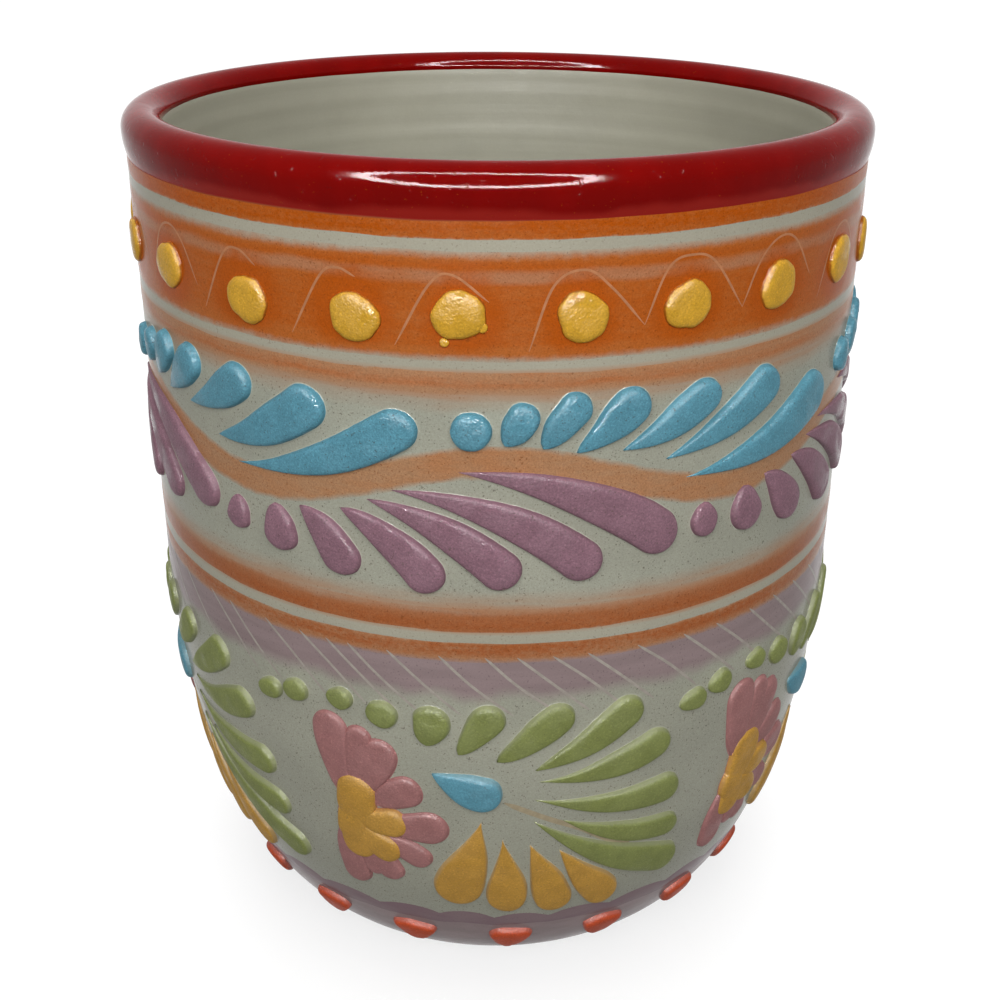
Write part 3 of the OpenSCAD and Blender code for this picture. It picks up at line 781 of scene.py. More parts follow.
def outside_glaze(f, colours):
    """Bare glaze with thin orange by the stripes, warm lines between them and lilac washes under the waist."""
    base = bare_glaze(f, colours)
    level = f.math("ADD", f.z, f.stray(0.9, 0.3, stretch=(0.5, 0.2), shift=17.0))
    streak = f.step(f.noise(1.3, 3.0, stretch=(0.07, 1.0), shift=33.0), 0.3, 0.62, 0.55, 1.0)
    dust = [f.times(f.step(level, *fade), f.step(f.z, *stop), share) for fade, stop, share in DUST]
    base = f.mix(f.times(f.math("MAXIMUM", *dust), streak), base, blended(0.5, colours.tan, colours.peach))
    near = f.apart(f.z, LINES[0])
    for middle in LINES[1:]:
        near = f.math("MINIMUM", near, f.apart(f.z, middle))
    warm = f.step(near, 1.1, 0.3, 0.0, 0.5)
    base = f.mix(warm, base, blended(0.25, shade(colours.ground, 1.2), colours.tan))
    brush = f.noise(0.9, 3.0, stretch=(0.1, 0.8), shift=14.0)
    body = f.varied(f.step(brush, 0.36, 0.66), colours.wash, 0.06)
    body = speckled(f, body, shade(colours.purple, 0.5), 0.4, 0.1)
    level = f.math("ADD", f.z, f.stray(1.5, 0.16, 3.0, stretch=(1.0, 0.4), shift=8.0))
    cover = f.times(f.step(level, *WASH_FADE), f.step(f.z, *WASH_STOP))
    cover = f.math("MAXIMUM", cover, f.step(f.z, *FOOT_TINT, 0.0, 0.6))
    return f.mix(cover, base, body)


def ground_finish(colours):
    """Glaze outside, with bare clay under the foot."""
    f = Finish("bare_glaze")
    bare = f.step(f.z, *BARE_CLAY)
    clay = f.mix(f.step(f.noise(1.9), 0.4, 0.66), colours.bare_clay, shade(colours.bare_clay, 0.85))
    fine_skin(f)
    return f.done(f.mix(bare, outside_glaze(f, colours), clay), f.step(bare, 0.0, 1.0, 0.2, 0.75))


def by_beads(f):
    """1 round each yellow bead, 0 away from it."""
    lead = f.math("ADD", f.turn, math.radians(-YELLOW_FIRST))
    sway = f.math("COSINE", f.math("MULTIPLY_ADD", lead, YELLOW_ROUND / SWAY_BEADS, math.radians(SWAY_START)))
    spot = f.times(f.math("MULTIPLY_ADD", sway, -math.radians(SWAY), lead), YELLOW_ROUND / (2 * math.pi))
    across = f.times(f.math("SUBTRACT", spot, f.math("ROUND", spot)), 2 * math.pi * RIM_R / YELLOW_ROUND)
    up = f.math("SUBTRACT", f.z, YELLOW_Z)
    away = f.math("SQRT", f.math("ADD", f.times(across, across), f.times(up, up)))
    return f.step(f.math("MULTIPLY_ADD", f.noise(0.7, shift=51.0), 2.0, away), *BEAD_HALO)


def band_finish(name, colours, strong, thin, band, soft, streaks, glow):
    """Brushed slip under the glaze: deep in the middle, thin at its soft edges, streaked round the cup."""
    f = Finish(name)
    ground = outside_glaze(f, colours)
    brush = f.noise(1.1, 3.0, stretch=(0.08, 1.0), shift=4.0)
    mottle = f.noise(2.6, 3.0, stretch=(0.6, 1.0), shift=21.0, rough=0.65)
    uneven = f.math("MULTIPLY_ADD", mottle, 0.7, f.times(brush, 0.6))
    body = f.mix(f.step(uneven, 0.5, 0.85, 0.0, 0.55), strong, thin)
    level = f.math("ADD", f.z, f.stray(0.8, 0.2, stretch=(0.6, 0.1), shift=6.0))
    patch = f.step(f.noise(0.5, 3.0, stretch=(0.25, 1.2), shift=15.0), 0.3, 0.6, 0.45, 1.0)
    for middle, half, share, tint in streaks:
        streak = f.step(f.apart(level, middle), half, half * 0.25, 0.0, share)
        body = f.mix(f.times(streak, patch), body, tint)
    if glow:
        body = f.mix(f.times(by_beads(f), 0.8), body, glow)
    ragged = f.math("ADD", f.stray(0.25, 1.2, shift=16.0), -0.3)
    level = f.math("ADD", f.z, f.math("MULTIPLY_ADD", brush, 0.6, ragged))
    below, above = f.math("SUBTRACT", level, band[0]), f.math("SUBTRACT", band[1], level)

    def cover(reach):
        return f.times(f.step(below, 0.0, reach * soft[0]), f.step(above, 0.0, reach * soft[1]))

    body = speckled(f, f.mix(cover(1.8), thin, body), shade(strong, 0.4), 0.5, 0.4)
    fine_skin(f)
    return f.done(f.mix(cover(1.0), ground, body), f.gloss())


def ribbon_finish(colours):
    """Thin tan ribbon with soft sides, more orange in places."""
    f = Finish("tan_ribbon")
    ground = outside_glaze(f, colours)
    strong = f.step(f.noise(0.06, shift=44.0), 0.42, 0.62, 0.0, 0.18)
    streak = f.step(f.noise(1.3, 3.0, stretch=(0.3, 1.0), shift=9.0), 0.34, 0.66, 0.0, 0.18)
    body = f.mix(f.math("ADD", strong, streak), colours.tan, colours.peach)
    body = speckled(f, body, shade(colours.orange, 0.4), 0.5, 0.45)
    middle = WAVE_MIDDLE + (RIBBON_LOW + RIBBON_HIGH) / 2
    half = (RIBBON_HIGH - RIBBON_LOW) / 2
    wave = f.math("MULTIPLY_ADD", f.math("COSINE", f.times(f.turn, float(UNITS))), WAVE_RISE, middle)
    level = f.math("ADD", f.z, f.stray(0.4, 0.5, 3.0, shift=8.0))
    cover = f.step(f.apart(level, wave), half - 0.1, half - 1.0)
    fine_skin(f)
    return f.done(f.mix(cover, ground, body), f.gloss())


def wash_finish(colours):
    """Lilac wash that fades unevenly into the bare glaze."""
    f = Finish("lilac_wash")
    fine_skin(f)
    return f.done(outside_glaze(f, colours), f.gloss())


def foot_finish(name, strong, thin):
    """Wash round the foot with overlapping brush strokes."""
    f = Finish(name)
    stroke = f.noise(0.4, 3.0, stretch=(0.5, 1.4), shift=31.0)
    body = f.mix(f.step(stroke, 0.36, 0.64), strong, thin)
    body = speckled(f, body, shade(strong, 0.6), 0.3, 0.08)
    fine_skin(f)
    return f.done(body, f.gloss())


def slip_finish(name, base, rim, halo, speck, outline=(0.06, 0.0), rough=(0.07, 0.4), specks=0.5, grain=0.5,
                specular=0.036):
    """Squeezed slip under gloss: grained and speckled, with an outline where it meets the wall."""
    f = Finish(name, specular)
    body = f.varied(f.step(f.noise(0.45, shift=13.0), 0.36, 0.66), base, 0.06)
    light = f.step(f.noise(4.4, 1.0, shift=23.0), 0.54, 0.7, 0.0, 0.4)
    body = f.mix(light, body, shade(base, 1.45))
    body = speckled(f, body, speck, specks, grain)
    level = f.math("ADD", f.edge(), f.stray(0.03, 1.4, 1.0, shift=19.0))
    body = f.mix(f.step(level, *outline, 0.0, 0.85), body, rim)
    body = f.mix(f.step(level, -0.01, -0.06), body, halo)
    f.relief(f.noise(0.55, shift=29.0), 0.06)
    f.relief(f.noise(3.0, shift=37.0), 0.06)
    f.relief(f.noise(5.0, 0.0, shift=39.0), 0.03)
    shine = f.step(f.noise(0.3, shift=47.0), 0.46, 0.6)
    gloss = f.math("MULTIPLY_ADD", shine, rough[0] - rough[1], rough[1])
    skirt = f.step(level, 0.03, -0.03)
    return f.done(body, f.math("MULTIPLY_ADD", skirt, f.math("SUBTRACT", SKIRT_ROUGH, gloss), gloss))


def red_finish(colours):
    """Thick red glaze, plum low down as a painted floor reflection, a soft peach edge line as a painted highlight.
    """
    f = Finish("red_glaze")
    edge = f.edge()
    flow = f.step(f.noise(0.2, 3.0, stretch=(1.0, 0.5), shift=2.0), 0.35, 0.7)
    body = f.varied(flow, colours.red, 0.08)
    level = f.math("ADD", edge, f.stray(1.2, 0.12, shift=5.0))
    # Plum over the lowest millimetre or so, paler and duller than the red: a painted reflection of the pale floor
    body = f.mix(f.step(level, 1.5, 0.5, 0.0, 0.9), body, colours.plum_reflection)
    sparks = f.step(f.noise(3.6, 1.0, shift=8.0), 0.73, 0.78, 0.0, 0.4)
    body = f.mix(sparks, body, shade(colours.orange, 0.8))
    # A soft peach line at the very lower edge: a painted highlight on the edge of the glaze
    body = f.mix(f.step(edge, 0.22, 0.02, 0.0, 0.6), body, colours.peach)
    pits = f.step(f.noise(1.6, 1.0, shift=15.0), 0.68, 0.74)
    f.relief(f.noise(0.3, shift=12.0), 0.04)
    f.relief(pits, -0.015)
    f.relief(f.noise(4.2, 1.0, shift=18.0), 0.006)
    return f.done(body, f.math("ADD", f.gloss(0.05, 0.1), f.step(edge, 0.35, 0.1, 0.0, 0.5)))


def lining_finish(colours):
    """Pale glaze inside with faint rings left by the wheel."""
    f = Finish("inside_glaze")
    body = f.varied(f.step(f.noise(0.07, 3.0, shift=4.0), 0.35, 0.68), colours.lining, 0.04)
    rings = f.noise(0.5, 3.0, stretch=(0.02, 1.0), shift=6.0)
    body = f.mix(f.step(rings, 0.4, 0.7, 0.0, 0.3), body, shade(colours.lining, 0.88))
    grain = f.noise(4.6, shift=3.0, rough=0.7)
    body = f.vector("SCALE", body, f.math("MULTIPLY_ADD", grain, 0.1, 0.95))
    f.relief(rings, 0.06)
    f.relief(f.noise(0.8, shift=5.0), 0.02)
    return f.done(body, f.gloss(0.4, 0.55))


def line_finish(name, line):
    """Thin slip or glaze in a narrow line, broken here and there."""
    f = Finish(name)
    broken = f.step(f.noise(1.2, shift=41.0), 0.35, 0.65)
    body = f.mix(broken, shade(line, 0.9), shade(line, 1.06))
    body = speckled(f, body, shade(line, 0.6), 0.2, 0.1)
    f.relief(f.noise(2.4, 1.0, shift=6.0), 0.01)
    return f.done(body, f.gloss())


# Operators


class TUMBLER_OT_clay(bpy.types.Operator):
    """Clay cup with its bare glaze and foot ring"""

    bl_idname = "tumbler.clay"
    bl_label = "Clay cup"

    def execute(self, context):
        hollow_r = FOOT_RING_R - FOOT_HOLLOW
        foot = [(AXIS_R, FOOT_HOLLOW), (10, FOOT_HOLLOW), (hollow_r - 0.5, FOOT_HOLLOW),
                (hollow_r + 0.2, FOOT_HOLLOW * 0.8), (FOOT_RING_R - 0.5, 0.25), (FOOT_RING_R, 0.05),
                (FOOT_RING_R + 0.6, 0.0), (FOOT_R - 1.6, 0.0), (FOOT_R - 0.7, 0.08)]
        heights = np.concatenate([[0.45, 0.9], np.linspace(1.5, BELLY_H, 56), np.linspace(BELLY_H + 1, LIP_Z, 50)])
        wall = [(float(wall_radius(z)), float(z)) for z in heights]
        lip = [(RIM_R - LIP_R + LIP_R * math.cos(a), LIP_Z + LIP_R * math.sin(a))
               for a in np.linspace(0, math.pi, 13)[1:-1]]
        inside = [(float(cavity_radius(z)), float(z)) for z in np.linspace(LIP_Z, BELLY_H, 16)]
        inside += cavity_floor(lambda z: 0.0, 40)
        make_piece("clay_cup", [turned(foot + wall + lip + inside + [(AXIS_R, FLOOR_T)])],
                   ground_finish(context.scene.tumbler_colours), ("clay_body",))
        return {"FINISHED"}


class TUMBLER_OT_lining(bpy.types.Operator):
    """Glaze inside the cup, with the rings left by the wheel"""

    bl_idname = "tumbler.lining"
    bl_label = "Inside glaze"

    def execute(self, context):
        lip = []
        for a in np.linspace(RED_TURN - RED_LAP, 180, 12):
            thick = LIP_R + LINING_T * (0.25 + 0.75 * float(smooth((a - RED_TURN + RED_LAP) / LINING_LAP)))
            a = math.radians(a)
            lip.append((RIM_R - LIP_R + thick * math.cos(a), LIP_Z + thick * math.sin(a)))

        def coat(z):
            thick = LINING_T
            for depth, pace, start in WALL_RINGS:
                thick -= depth * math.sin(z * pace + start)
            return thick

        wall = [(float(cavity_radius(z)) - coat(z), float(z)) for z in np.linspace(LIP_Z - 0.5, BELLY_H, 110)]
        wall += cavity_floor(coat, 110)
        depth, pace = FLOOR_RINGS
        middle = [(r, FLOOR_T + coat(FLOOR_T) + depth * math.sin((FLOOR_R - r) * pace))
                  for r in np.linspace(FLOOR_R - 0.5, AXIS_R, 40)]
        make_piece("inside_lining", [turned(lip + wall + middle)], lining_finish(context.scene.tumbler_colours),
                   ("inside_glaze",))
        return {"FINISHED"}


class TUMBLER_OT_rim(bpy.types.Operator):
    """Thick red glaze over the lip"""

    bl_idname = "tumbler.rim"
    bl_label = "Red lip"

    def execute(self, context):
        coat = context.scene.tumbler_sizes.rim_coat / MM
        steps = 480
        turn = all_round(steps)
        low = RED_EDGE + hand(turn, seed=71, amount=0.06)
        stop = RED_TURN + hand(turn, seed=72, amount=0.8)
        rows, edges = [], []
        for share in RED_ROWS:
            z = low + share * (LIP_Z - low)
            out = coat * math.sin(math.pi / 2 * min(1, 1.15 * share)) if share else -PAINT_SINK
            rows.append((wall_radius(z) + out, z))
            edges.append(z - low)
        for share in np.linspace(0, 1, 33):
            a = np.radians(share * stop)
            thick = LIP_R + RED_END + (coat - RED_END) * float(smooth((1 - share) * RED_TURN / RED_LAP))
            rows.append((RIM_R - LIP_R + thick * np.cos(a), LIP_Z + thick * np.sin(a)))
            edges.append(LIP_Z - low + RED_OVER * share)
        wave = hand(turn, seed=73, amount=0.03, waves=(2, 3, 4))
        turn = np.radians(turn)
        spots = np.stack([
            np.stack([(r + wave) * np.sin(turn), -(r + wave) * np.cos(turn), np.minimum(z, CUP_TOP)], axis=-1)
            for r, z in rows
        ], axis=1)
        make_piece("red_lip", [(spots, quads(steps, len(rows), close_rows=True))],
                   red_finish(context.scene.tumbler_colours), ("rim_glaze",), [np.stack(edges, axis=1)])
        return {"FINISHED"}


class TUMBLER_OT_stripes(bpy.types.Operator):
    """Orange stripes and the broad band that carries the beads"""

    bl_idname = "tumbler.stripes"
    bl_label = "Orange stripes"

    def execute(self, context):
        colours, sizes = context.scene.tumbler_colours, context.scene.tumbler_sizes
        orange, peach, tan = colours.orange, colours.peach, colours.tan
        chalky = blended(0.3, peach, colours.ground)
        warm = blended(0.3, orange, peach)
        dull = shade(blended(0.3, orange, tan), 0.84)
        turn = all_round()
        wobble = sizes.edge_wobble / MM
        for name, band, strong, thin, soft, streaks, glow in (
            ("rim_stripe", RIM_STRIPE, orange, peach, (0.5, 0.1), (), None),
            ("bead_band", BEAD_BAND, warm, peach, (1.1, 1.3),
             ((89.7, 0.95, 0.7, chalky), (91.0, 0.6, 0.7, orange), (82.6, 0.8, 0.5, peach)), orange),
            ("bead_stripe", BEAD_STRIPE, blended(0.5, warm, tan), tan, (1.2, 0.4),
             ((80.2, 0.5, 0.5, tan), (79.2, 0.4, 0.5, warm)), None),
            ("waist_stripe_upper", WAIST_UPPER, dull, blended(0.6, tan, dull), (0.4, 1.4), (), None),
            ("waist_stripe_lower", WAIST_LOWER, dull, tan, (0.9, 0.4), (), None),
        ):
            material = band_finish(f"{name}_slip", colours, strong, thin, band, soft, streaks, glow)
            seed = zlib.crc32(name.encode())
            shell = painted_shell(band[0] + hand(turn, seed, wobble), band[1] + hand(turn, seed + 1, wobble),
                                  sizes.paint_lift / MM)
            make_piece(f"{name}_paint", [shell], material, (name,))
        return {"FINISHED"}


class TUMBLER_OT_ribbon(bpy.types.Operator):
    """Tan ribbon that waves round the middle"""

    bl_idname = "tumbler.ribbon"
    bl_label = "Wave ribbon"

    def execute(self, context):
        turn = all_round()
        middle = WAVE_MIDDLE + WAVE_RISE * np.cos(np.radians(turn * UNITS))
        low = middle + RIBBON_LOW + hand(turn, seed=5, amount=0.1)
        high = middle + RIBBON_HIGH + hand(turn, seed=6, amount=0.1)
        shell = painted_shell(low, high, context.scene.tumbler_sizes.paint_lift / MM)
        make_piece("wave_ribbon_paint", [shell], ribbon_finish(context.scene.tumbler_colours),
                   ("wave_ribbon",))
        return {"FINISHED"}


class TUMBLER_OT_wash(bpy.types.Operator):
    """Lilac wash under the waist, and the wash and scalloped strokes round the foot"""

    bl_idname = "tumbler.wash"
    bl_label = "Lilac washes"

    def execute(self, context):
        colours = context.scene.tumbler_colours
        wash, purple = colours.wash, colours.purple
        lift = context.scene.tumbler_sizes.paint_lift / MM
        turn = all_round()
        low, high = WASH[0] + hand(turn, seed=8, amount=0.3), WASH[1] + hand(turn, seed=9, amount=0.1)
        shell = painted_shell(low, high, lift * WASH_LIFT, taper=2.0)
        make_piece("wash_band_paint", [shell], wash_finish(colours), ("wash_band",))
        high = BASE[1] + hand(turn, seed=10, amount=0.2)
        make_piece("base_band_paint", [painted_shell(BASE[0], high, lift * BASE_LIFT)],
                   foot_finish("foot_wash", wash, shade(wash, 1.16)), ("base_band",))
        steps = 768
        turn = all_round(steps)
        share = (turn * SCALLOPS / 360 + 0.1 * np.sin(np.radians(turn * 7))) % 1
        high = SCALLOP_TOP - SCALLOP_DIP * np.abs(2 * share - 1) ** 2
        high = high + hand(turn, seed=11, amount=0.2, waves=(5, 9, 14))
        low = SCALLOP_LOW + hand(turn, seed=12, amount=0.4)
        make_piece("base_scallops_paint", [painted_shell(low, high, lift, steps)],
                   foot_finish("scallop_strokes", purple, blended(0.4, purple, wash)),
                   ("base_scallops",))
        return {"FINISHED"}


class TUMBLER_OT_scratches(bpy.types.Operator):
    """Thin lines scratched through the paint: arches over the beads and slants in the wash"""

    bl_idname = "tumbler.scratches"
    bl_label = "Scratched lines"

    def execute(self, context):
        colours, sizes = context.scene.tumbler_colours, context.scene.tumbler_sizes
        width, lift = sizes.scratch / MM, sizes.paint_lift / MM
        arches = list(ARCS)
        for k in BACK_ARCHES:
            middle, lifted = ARCH_FIRST + k * ARCH_STEP, ARCH_LIFT * math.sin(2.1 * k)
            arches.append([(middle + x, z + lifted) for x, z in ARCH])
        pale = shade(blended(0.2, colours.peach, colours.ground), 1.15)
        make_piece("scratched_arches", [scratch_line(a, width * ARCH_WIDTH, lift) for a in arches],
                   line_finish("scratched_orange", pale))
        tops = list(SLANTS)
        pick = random.Random(12)
        spot, last = BACK_SLANTS
        while spot < last:
            tops.append(spot)
            spot += pick.uniform(*SLANT_GAPS)
        high, middle, low = SLANT_HEIGHTS
        slants = [((x, high), (x + SLANT_LEAN[0] + SLANT_BEND * math.sin(x), middle), (x + SLANT_LEAN[1], low))
                  for x in tops]
        pale = shade(blended(0.5, colours.wash, colours.ground), 1.18)
        make_piece("scratched_slants", [scratch_line(s, width, lift * WASH_LIFT) for s in slants],
                   line_finish("scratched_wash", pale))
        smears = [[(turn + x, FIELD_FOOT + z) for x, z in SMEAR] for turn in FIELD_TURNS]
        make_piece("yellow_smears", [scratch_line(s, SMEAR_WIDTH, SMEAR_LIFT) for s in smears],
                   line_finish("smeared_yellow", blended(0.3, colours.ground, colours.amber)))
        return {"FINISHED"}


class TUMBLER_OT_beads(bpy.types.Operator):
    """Yellow beads on the orange band and red beads round the foot"""

    bl_idname = "tumbler.beads"
    bl_label = "Beads"

    def execute(self, context):
        colours, sizes = context.scene.tumbler_colours, context.scene.tumbler_sizes
        size, rise = sizes.yellow_bead / MM, sizes.yellow_rise / MM
        seat = sizes.paint_lift / MM
        made = []
        for k in range(-(YELLOW_ROUND // 2), YELLOW_ROUND - YELLOW_ROUND // 2):
            sway = SWAY * math.cos(math.radians(k * 360 / SWAY_BEADS + SWAY_START))
            sag = -SAG * math.cos(math.radians(SAG_PACE * (k + SAG_START)))
            across, up = BEAD_NUDGES.get(k, (0, 0))
            turn = YELLOW_FIRST + k * 360 / YELLOW_ROUND + sway + math.degrees(across / RIM_R)
            made.append(bead(turn, YELLOW_Z + YELLOW_LIFT + sag + up, size, rise, 100 + k, seat))
        for turn, share, below, drip, drip_rise, seed in DRIPS:
            made.append(bead(turn, YELLOW_Z - share * size - below, drip, drip_rise, seed, seat))
        rim, halo, speck = (shade(colours.orange, s) for s in (0.6, 0.66, 0.5))
        yellow = slip_finish("yellow_slip", colours.yellow, rim, halo, speck, outline=(0.05, 0.01), specks=0.2,
                             grain=0.32, specular=0.05)
        raised_piece("yellow_bead_row", made, yellow, "yellow_beads")
        size, rise = sizes.red_bead / MM, sizes.red_rise / MM
        made = [bead(RED_FIRST + k * 360 / RED_ROUND, RED_Z, size, rise, 200 + k, seat * RED_SEAT, RED_SHIELD)
                for k in range(RED_ROUND)]
        coral = slip_finish("coral_slip", colours.coral, blended(0.4, colours.coral, colours.wash),
                            shade(colours.wash, 0.86), shade(colours.coral, 0.5), outline=(0.12, -0.02),
                            rough=(0.4, 0.5), specks=0.2, grain=0.3)
        raised_piece("red_bead_row", made, coral, "red_beads")
        return {"FINISHED"}


class TUMBLER_OT_plumes(bpy.types.Operator):
    """Blue plumes above the ribbon and lilac plumes below it"""

    bl_idname = "tumbler.plumes"
    bl_label = "Plumes"

    def execute(self, context):
        colours = context.scene.tumbler_colours
        rise = context.scene.tumbler_sizes.plume_rise / MM
        # The skirt round the plumes is a paler ground: glaze lying thin at their edges, with a painted highlight
        # on that glaze fillet
        halo, speck = shade(colours.ground, 1.1), colours.speck
        # Their darker rim is partly thinner slip at the edge and partly painted shade where they meet the wall
        blue = slip_finish("blue_slip", colours.blue, shade(colours.blue, 0.85), halo, shade(speck, 0.7))
        lilac = slip_finish("lilac_slip", colours.lilac, shade(colours.lilac, 0.85), halo, speck, specular=0.022)
        for i in range(UNITS):
            marks = BLUE_MARKS if i < UNITS - 1 else BLUE_MARKS[:5] + LAST_BLUE_MARKS
            slip_marks(f"blue_spray_{i + 1}", marks, PLUME_FOOT, BLUE_TURNS[i], rise, blue)
            slip_marks(f"lilac_spray_{i + 1}", LILAC_MARKS, PLUME_FOOT + LILAC_LIFTS[i], LILAC_TURNS[i],
                       rise * LILAC_RISE, lilac)
        return {"FINISHED"}


class TUMBLER_OT_fans(bpy.types.Operator):
    """Green dots and leaves, the blue drop in their middle and the amber petals under it"""

    bl_idname = "tumbler.fans"
    bl_label = "Leaf fans"

    def execute(self, context):
        colours = context.scene.tumbler_colours
        rise = context.scene.tumbler_sizes.leaf_rise / MM
        ground, speck = colours.ground, colours.speck
        soft = {"outline": (0.16, -0.02), "rough": (0.38, 0.55), "specks": 0.3, "grain": 0.3}
        green, blue, amber = (
            slip_finish(name, base, blended(share, base, ground), ground, speck, **soft)
            for name, base, share in (("green_slip", colours.green, 0.45), ("drop_slip", colours.blue, 0.3),
                                      ("amber_slip", colours.amber, 0.4))
        )
        for i, turn in enumerate(FIELD_TURNS, 1):
            slip_marks(f"green_fan_{i}", GREEN_MARKS, FIELD_FOOT, turn, rise, green)
            slip_marks(f"blue_drop_{i}", DROP_MARKS, FIELD_FOOT, turn, rise * DROP_RISE, blue)
            slip_marks(f"amber_fan_{i}", AMBER_MARKS, FIELD_FOOT, turn, rise, amber)
        return {"FINISHED"}


class TUMBLER_OT_flowers(bpy.types.Operator):
    """Half flowers: fused pink petals round a lobed amber heart"""

    bl_idname = "tumbler.flowers"
    bl_label = "Half flowers"

    def execute(self, context):
        colours = context.scene.tumbler_colours
        rise = context.scene.tumbler_sizes.leaf_rise / MM
        rose, speck = colours.pink, colours.speck
        soft = {"outline": (0.1, -0.02), "rough": (0.38, 0.55), "specks": 0.3, "grain": 0.3}
        pink = slip_finish("pink_slip", rose, shade(rose, 0.96), rose, speck, **soft)
        amber = slip_finish("heart_slip", colours.amber, blended(0.3, colours.amber, rose), rose, speck, **soft)
        petals, heart = at_flower(PETAL_MARKS), at_flower(HEART_MARKS)
        for i, turn in enumerate(FIELD_TURNS, 1):
            slip_marks(f"pink_flower_{i}", petals, FIELD_FOOT, turn, rise * PETAL_RISE, pink)
            slip_marks(f"flower_heart_{i}", heart, FIELD_FOOT, turn, rise * HEART_RISE, amber)
        return {"FINISHED"}


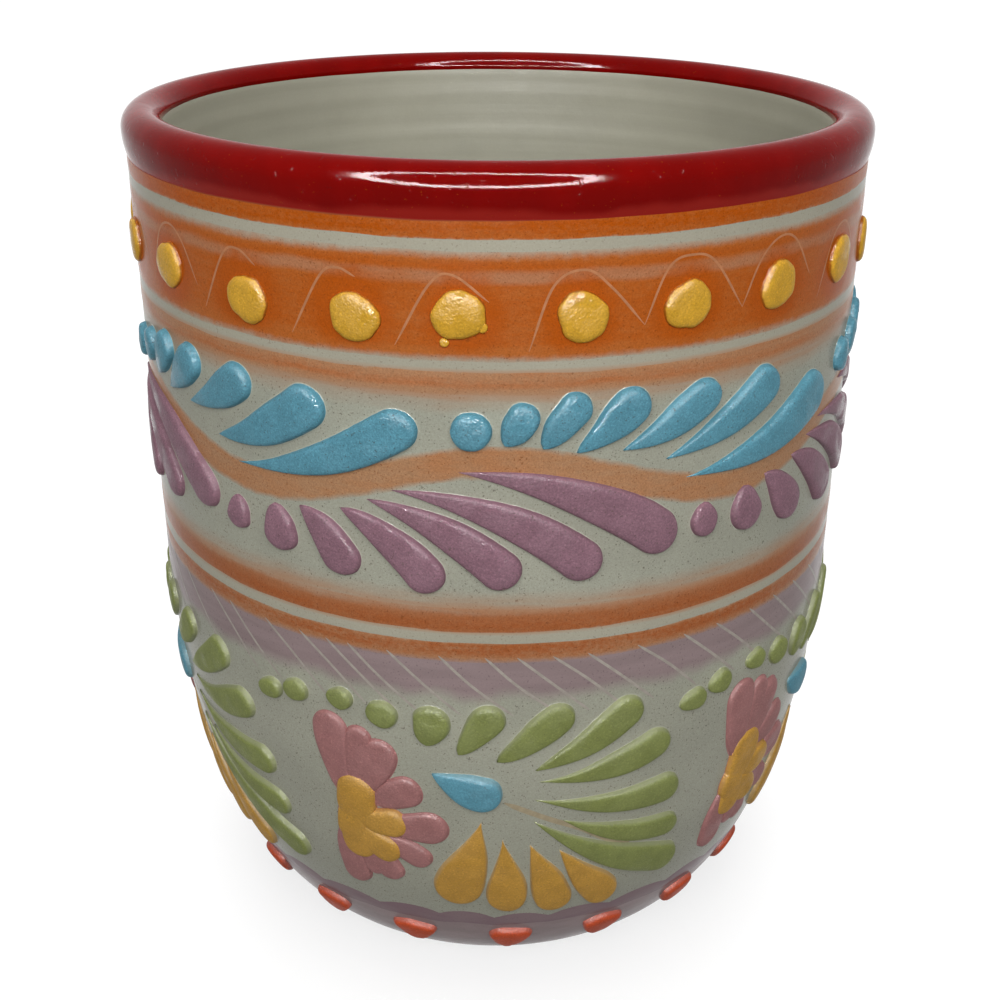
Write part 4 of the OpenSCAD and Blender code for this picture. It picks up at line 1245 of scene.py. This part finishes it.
class TUMBLER_OT_stage(bpy.types.Operator):
    """Pale floor, soft lamps and the camera"""

    bl_idname = "tumbler.stage"
    bl_label = "Stage"

    def execute(self, context):
        scene = context.scene
        stage = scene.tumbler_stage
        scene.view_settings.view_transform = "Standard"
        self.add_floor(scene, stage)
        self.add_lamps(scene, stage)
        self.add_camera(scene)
        return {"FINISHED"}

    def seen(self, n):
        """1 for rays from the camera, in a reflection or through glass, else 0."""
        rays = n.node("ShaderNodeLightPath").outputs
        total = rays["Is Camera Ray"]
        for name in ("Is Glossy Ray", "Is Transmission Ray"):
            total = n.math("MAXIMUM", total, rays[name])
        return total

    def glow_material(self, name):
        """A material with nothing but a glow in it yet: its nodes, the glow and the socket of the surface."""
        material = bpy.data.materials.new(name)
        material.use_nodes = True
        n = Nodes(material.node_tree)
        n.tree.nodes.clear()
        return material, n, n.node("ShaderNodeEmission"), n.node("ShaderNodeOutputMaterial").inputs["Surface"]

    def add_mesh(self, scene, name, points, faces, material):
        """A mesh of the stage, which isn't part of the cup."""
        mesh = bpy.data.meshes.new(name)
        mesh.from_pydata(points, [], faces)
        mesh.materials.append(material)
        made = bpy.data.objects.new(name, mesh)
        scene.collection.objects.link(made)
        return made

    def add_floor(self, scene, stage):
        material, n, glow, surface = self.glow_material("pale_floor")
        away = n.node("ShaderNodeVectorMath", operation="LENGTH")
        n.put(n.node("ShaderNodeTexCoord").outputs["Object"], away.inputs[0])
        level = self.seen(n)
        # The ramp near the foot dims the glow there: a painted contact shadow
        for ramp in FLOOR_GLOW_AND_SHADOW:
            level = n.math("MULTIPLY", level, n.step(away.outputs["Value"], *ramp))
        n.put(level, glow.inputs["Strength"])
        diffuse = n.node("ShaderNodeBsdfDiffuse")
        n.put(stage.floor, diffuse.inputs["Color"])
        both = n.node("ShaderNodeAddShader")
        n.put(diffuse.outputs[0], both.inputs[0])
        n.put(glow.outputs[0], both.inputs[1])
        n.put(both.outputs[0], surface)
        corners = [(x * FLOOR_HALF, y * FLOOR_HALF, 0) for x, y in ((-1, -1), (1, -1), (1, 1), (-1, 1))]
        self.add_mesh(scene, "floor", corners, [(0, 1, 2, 3)], material)

    def add_lamps(self, scene, stage):
        world = bpy.data.worlds.new("room")
        scene.world = world
        world.use_nodes = True
        n = Nodes(world.node_tree)
        back = n.tree.nodes["Background"].inputs
        n.put(n.step(self.seen(n), 0.0, 1.0, stage.sky, 1.0), back["Strength"])
        n.put((1, 1, 1), back["Color"])
        soft = bpy.data.lights.new("soft_lamp", "AREA")
        soft.shape = "RECTANGLE"
        soft.size, soft.size_y = SOFT_SIZE
        soft.energy = stage.key
        top = bpy.data.lights.new("top_lamp", "AREA")
        top.size = TOP_SIZE
        top.energy = stage.top
        for name, place in LAMPS.items():
            lamp = bpy.data.objects.new(name, top if name == "top_lamp" else soft)
            lamp.location = place
            if lamp.data == soft:
                lamp.rotation_euler = (Vector(LAMP_AIM) - lamp.location).to_track_quat("-Z", "Y").to_euler()
            lamp.visible_glossy = False
            lamp.visible_camera = False
            scene.collection.objects.link(lamp)
        self.add_loop(scene, stage)

    def add_loop(self, scene, stage):
        """Loop lamp above the front that shines in the lip."""
        middle = Vector(LOOP_MIDDLE)
        toward = (Vector(LOOP_AIM) - middle).normalized()
        right = toward.cross(Vector((0, 0, 1))).normalized()
        up = right.cross(toward)
        points = []
        for a in (2 * math.pi * k / LOOP_STEPS for k in range(LOOP_STEPS)):
            for side in (-1, 1):
                r = LOOP_R + side * LOOP_HALF * (1 - LOOP_THIN * math.sin(a))
                points.append(middle + right * r * math.cos(a) + up * r * math.sin(a))
        count = len(points)
        faces = [(k, k + 1, (k + 3) % count, (k + 2) % count) for k in range(0, count, 2)]
        material, n, glow, surface = self.glow_material("loop_light")
        n.put(stage.loop, glow.inputs["Strength"])
        n.put(glow.outputs[0], surface)
        loop = self.add_mesh(scene, "loop_lamp", points, faces, material)
        loop.visible_camera = False
        loop.visible_diffuse = False
        loop.visible_shadow = False

    def add_camera(self, scene):
        data = bpy.data.cameras.new("camera")
        data.sensor_fit = "HORIZONTAL"
        data.sensor_width = CAMERA_SENSOR
        data.lens = CAMERA_LENS
        data.shift_y = CAMERA_SHIFT
        data.clip_start = CAMERA_NEAR
        camera = bpy.data.objects.new("camera", data)
        pitch, yaw, roll = (math.radians(v) for v in CAMERA_TURN)
        ahead = Vector((math.sin(yaw), math.cos(yaw), 0))
        right = Vector((math.cos(yaw), -math.sin(yaw), 0))
        top = Vector((0, 0, 1))
        forward = ahead * math.cos(pitch) - top * math.sin(pitch)
        up = ahead * math.sin(pitch) + top * math.cos(pitch)
        right_2 = right * math.cos(roll) + up * math.sin(roll)
        up_2 = up * math.cos(roll) - right * math.sin(roll)
        turn = Matrix((right_2, up_2, -forward)).transposed()
        camera.matrix_world = Matrix.Translation(CAMERA_PLACE) @ turn.to_4x4()
        scene.collection.objects.link(camera)
        scene.camera = camera


PIECES = (
    TUMBLER_OT_clay, TUMBLER_OT_lining, TUMBLER_OT_rim, TUMBLER_OT_stripes, TUMBLER_OT_ribbon, TUMBLER_OT_wash,
    TUMBLER_OT_scratches, TUMBLER_OT_beads, TUMBLER_OT_plumes, TUMBLER_OT_fans, TUMBLER_OT_flowers,
    TUMBLER_OT_stage,
)


class TUMBLER_PT_panel(bpy.types.Panel):
    """Sizes, colours and pieces of the tumbler"""

    bl_idname = "TUMBLER_PT_panel"
    bl_label = "Slip-painted tumbler"
    bl_space_type = "VIEW_3D"
    bl_region_type = "UI"
    bl_category = "Tumbler"

    def draw(self, context):
        for group in (context.scene.tumbler_sizes, context.scene.tumbler_colours, context.scene.tumbler_stage):
            box = self.layout.box()
            for name in group.__annotations__:
                box.prop(group, name)
        for piece in PIECES:
            self.layout.operator(piece.bl_idname)


CLASSES = (TumblerSizes, TumblerColours, TumblerStage, *PIECES, TUMBLER_PT_panel)


def register():
    for cls in CLASSES:
        bpy.utils.register_class(cls)
    bpy.types.Scene.tumbler_sizes = PointerProperty(type=TumblerSizes)
    bpy.types.Scene.tumbler_colours = PointerProperty(type=TumblerColours)
    bpy.types.Scene.tumbler_stage = PointerProperty(type=TumblerStage)


def unregister():
    del bpy.types.Scene.tumbler_stage
    del bpy.types.Scene.tumbler_colours
    del bpy.types.Scene.tumbler_sizes
    for cls in reversed(CLASSES):
        bpy.utils.unregister_class(cls)


def main():
    register()
    for piece in PIECES:
        getattr(bpy.ops.tumbler, piece.bl_idname.split(".")[1])()


if __name__ == "__main__":
    main()
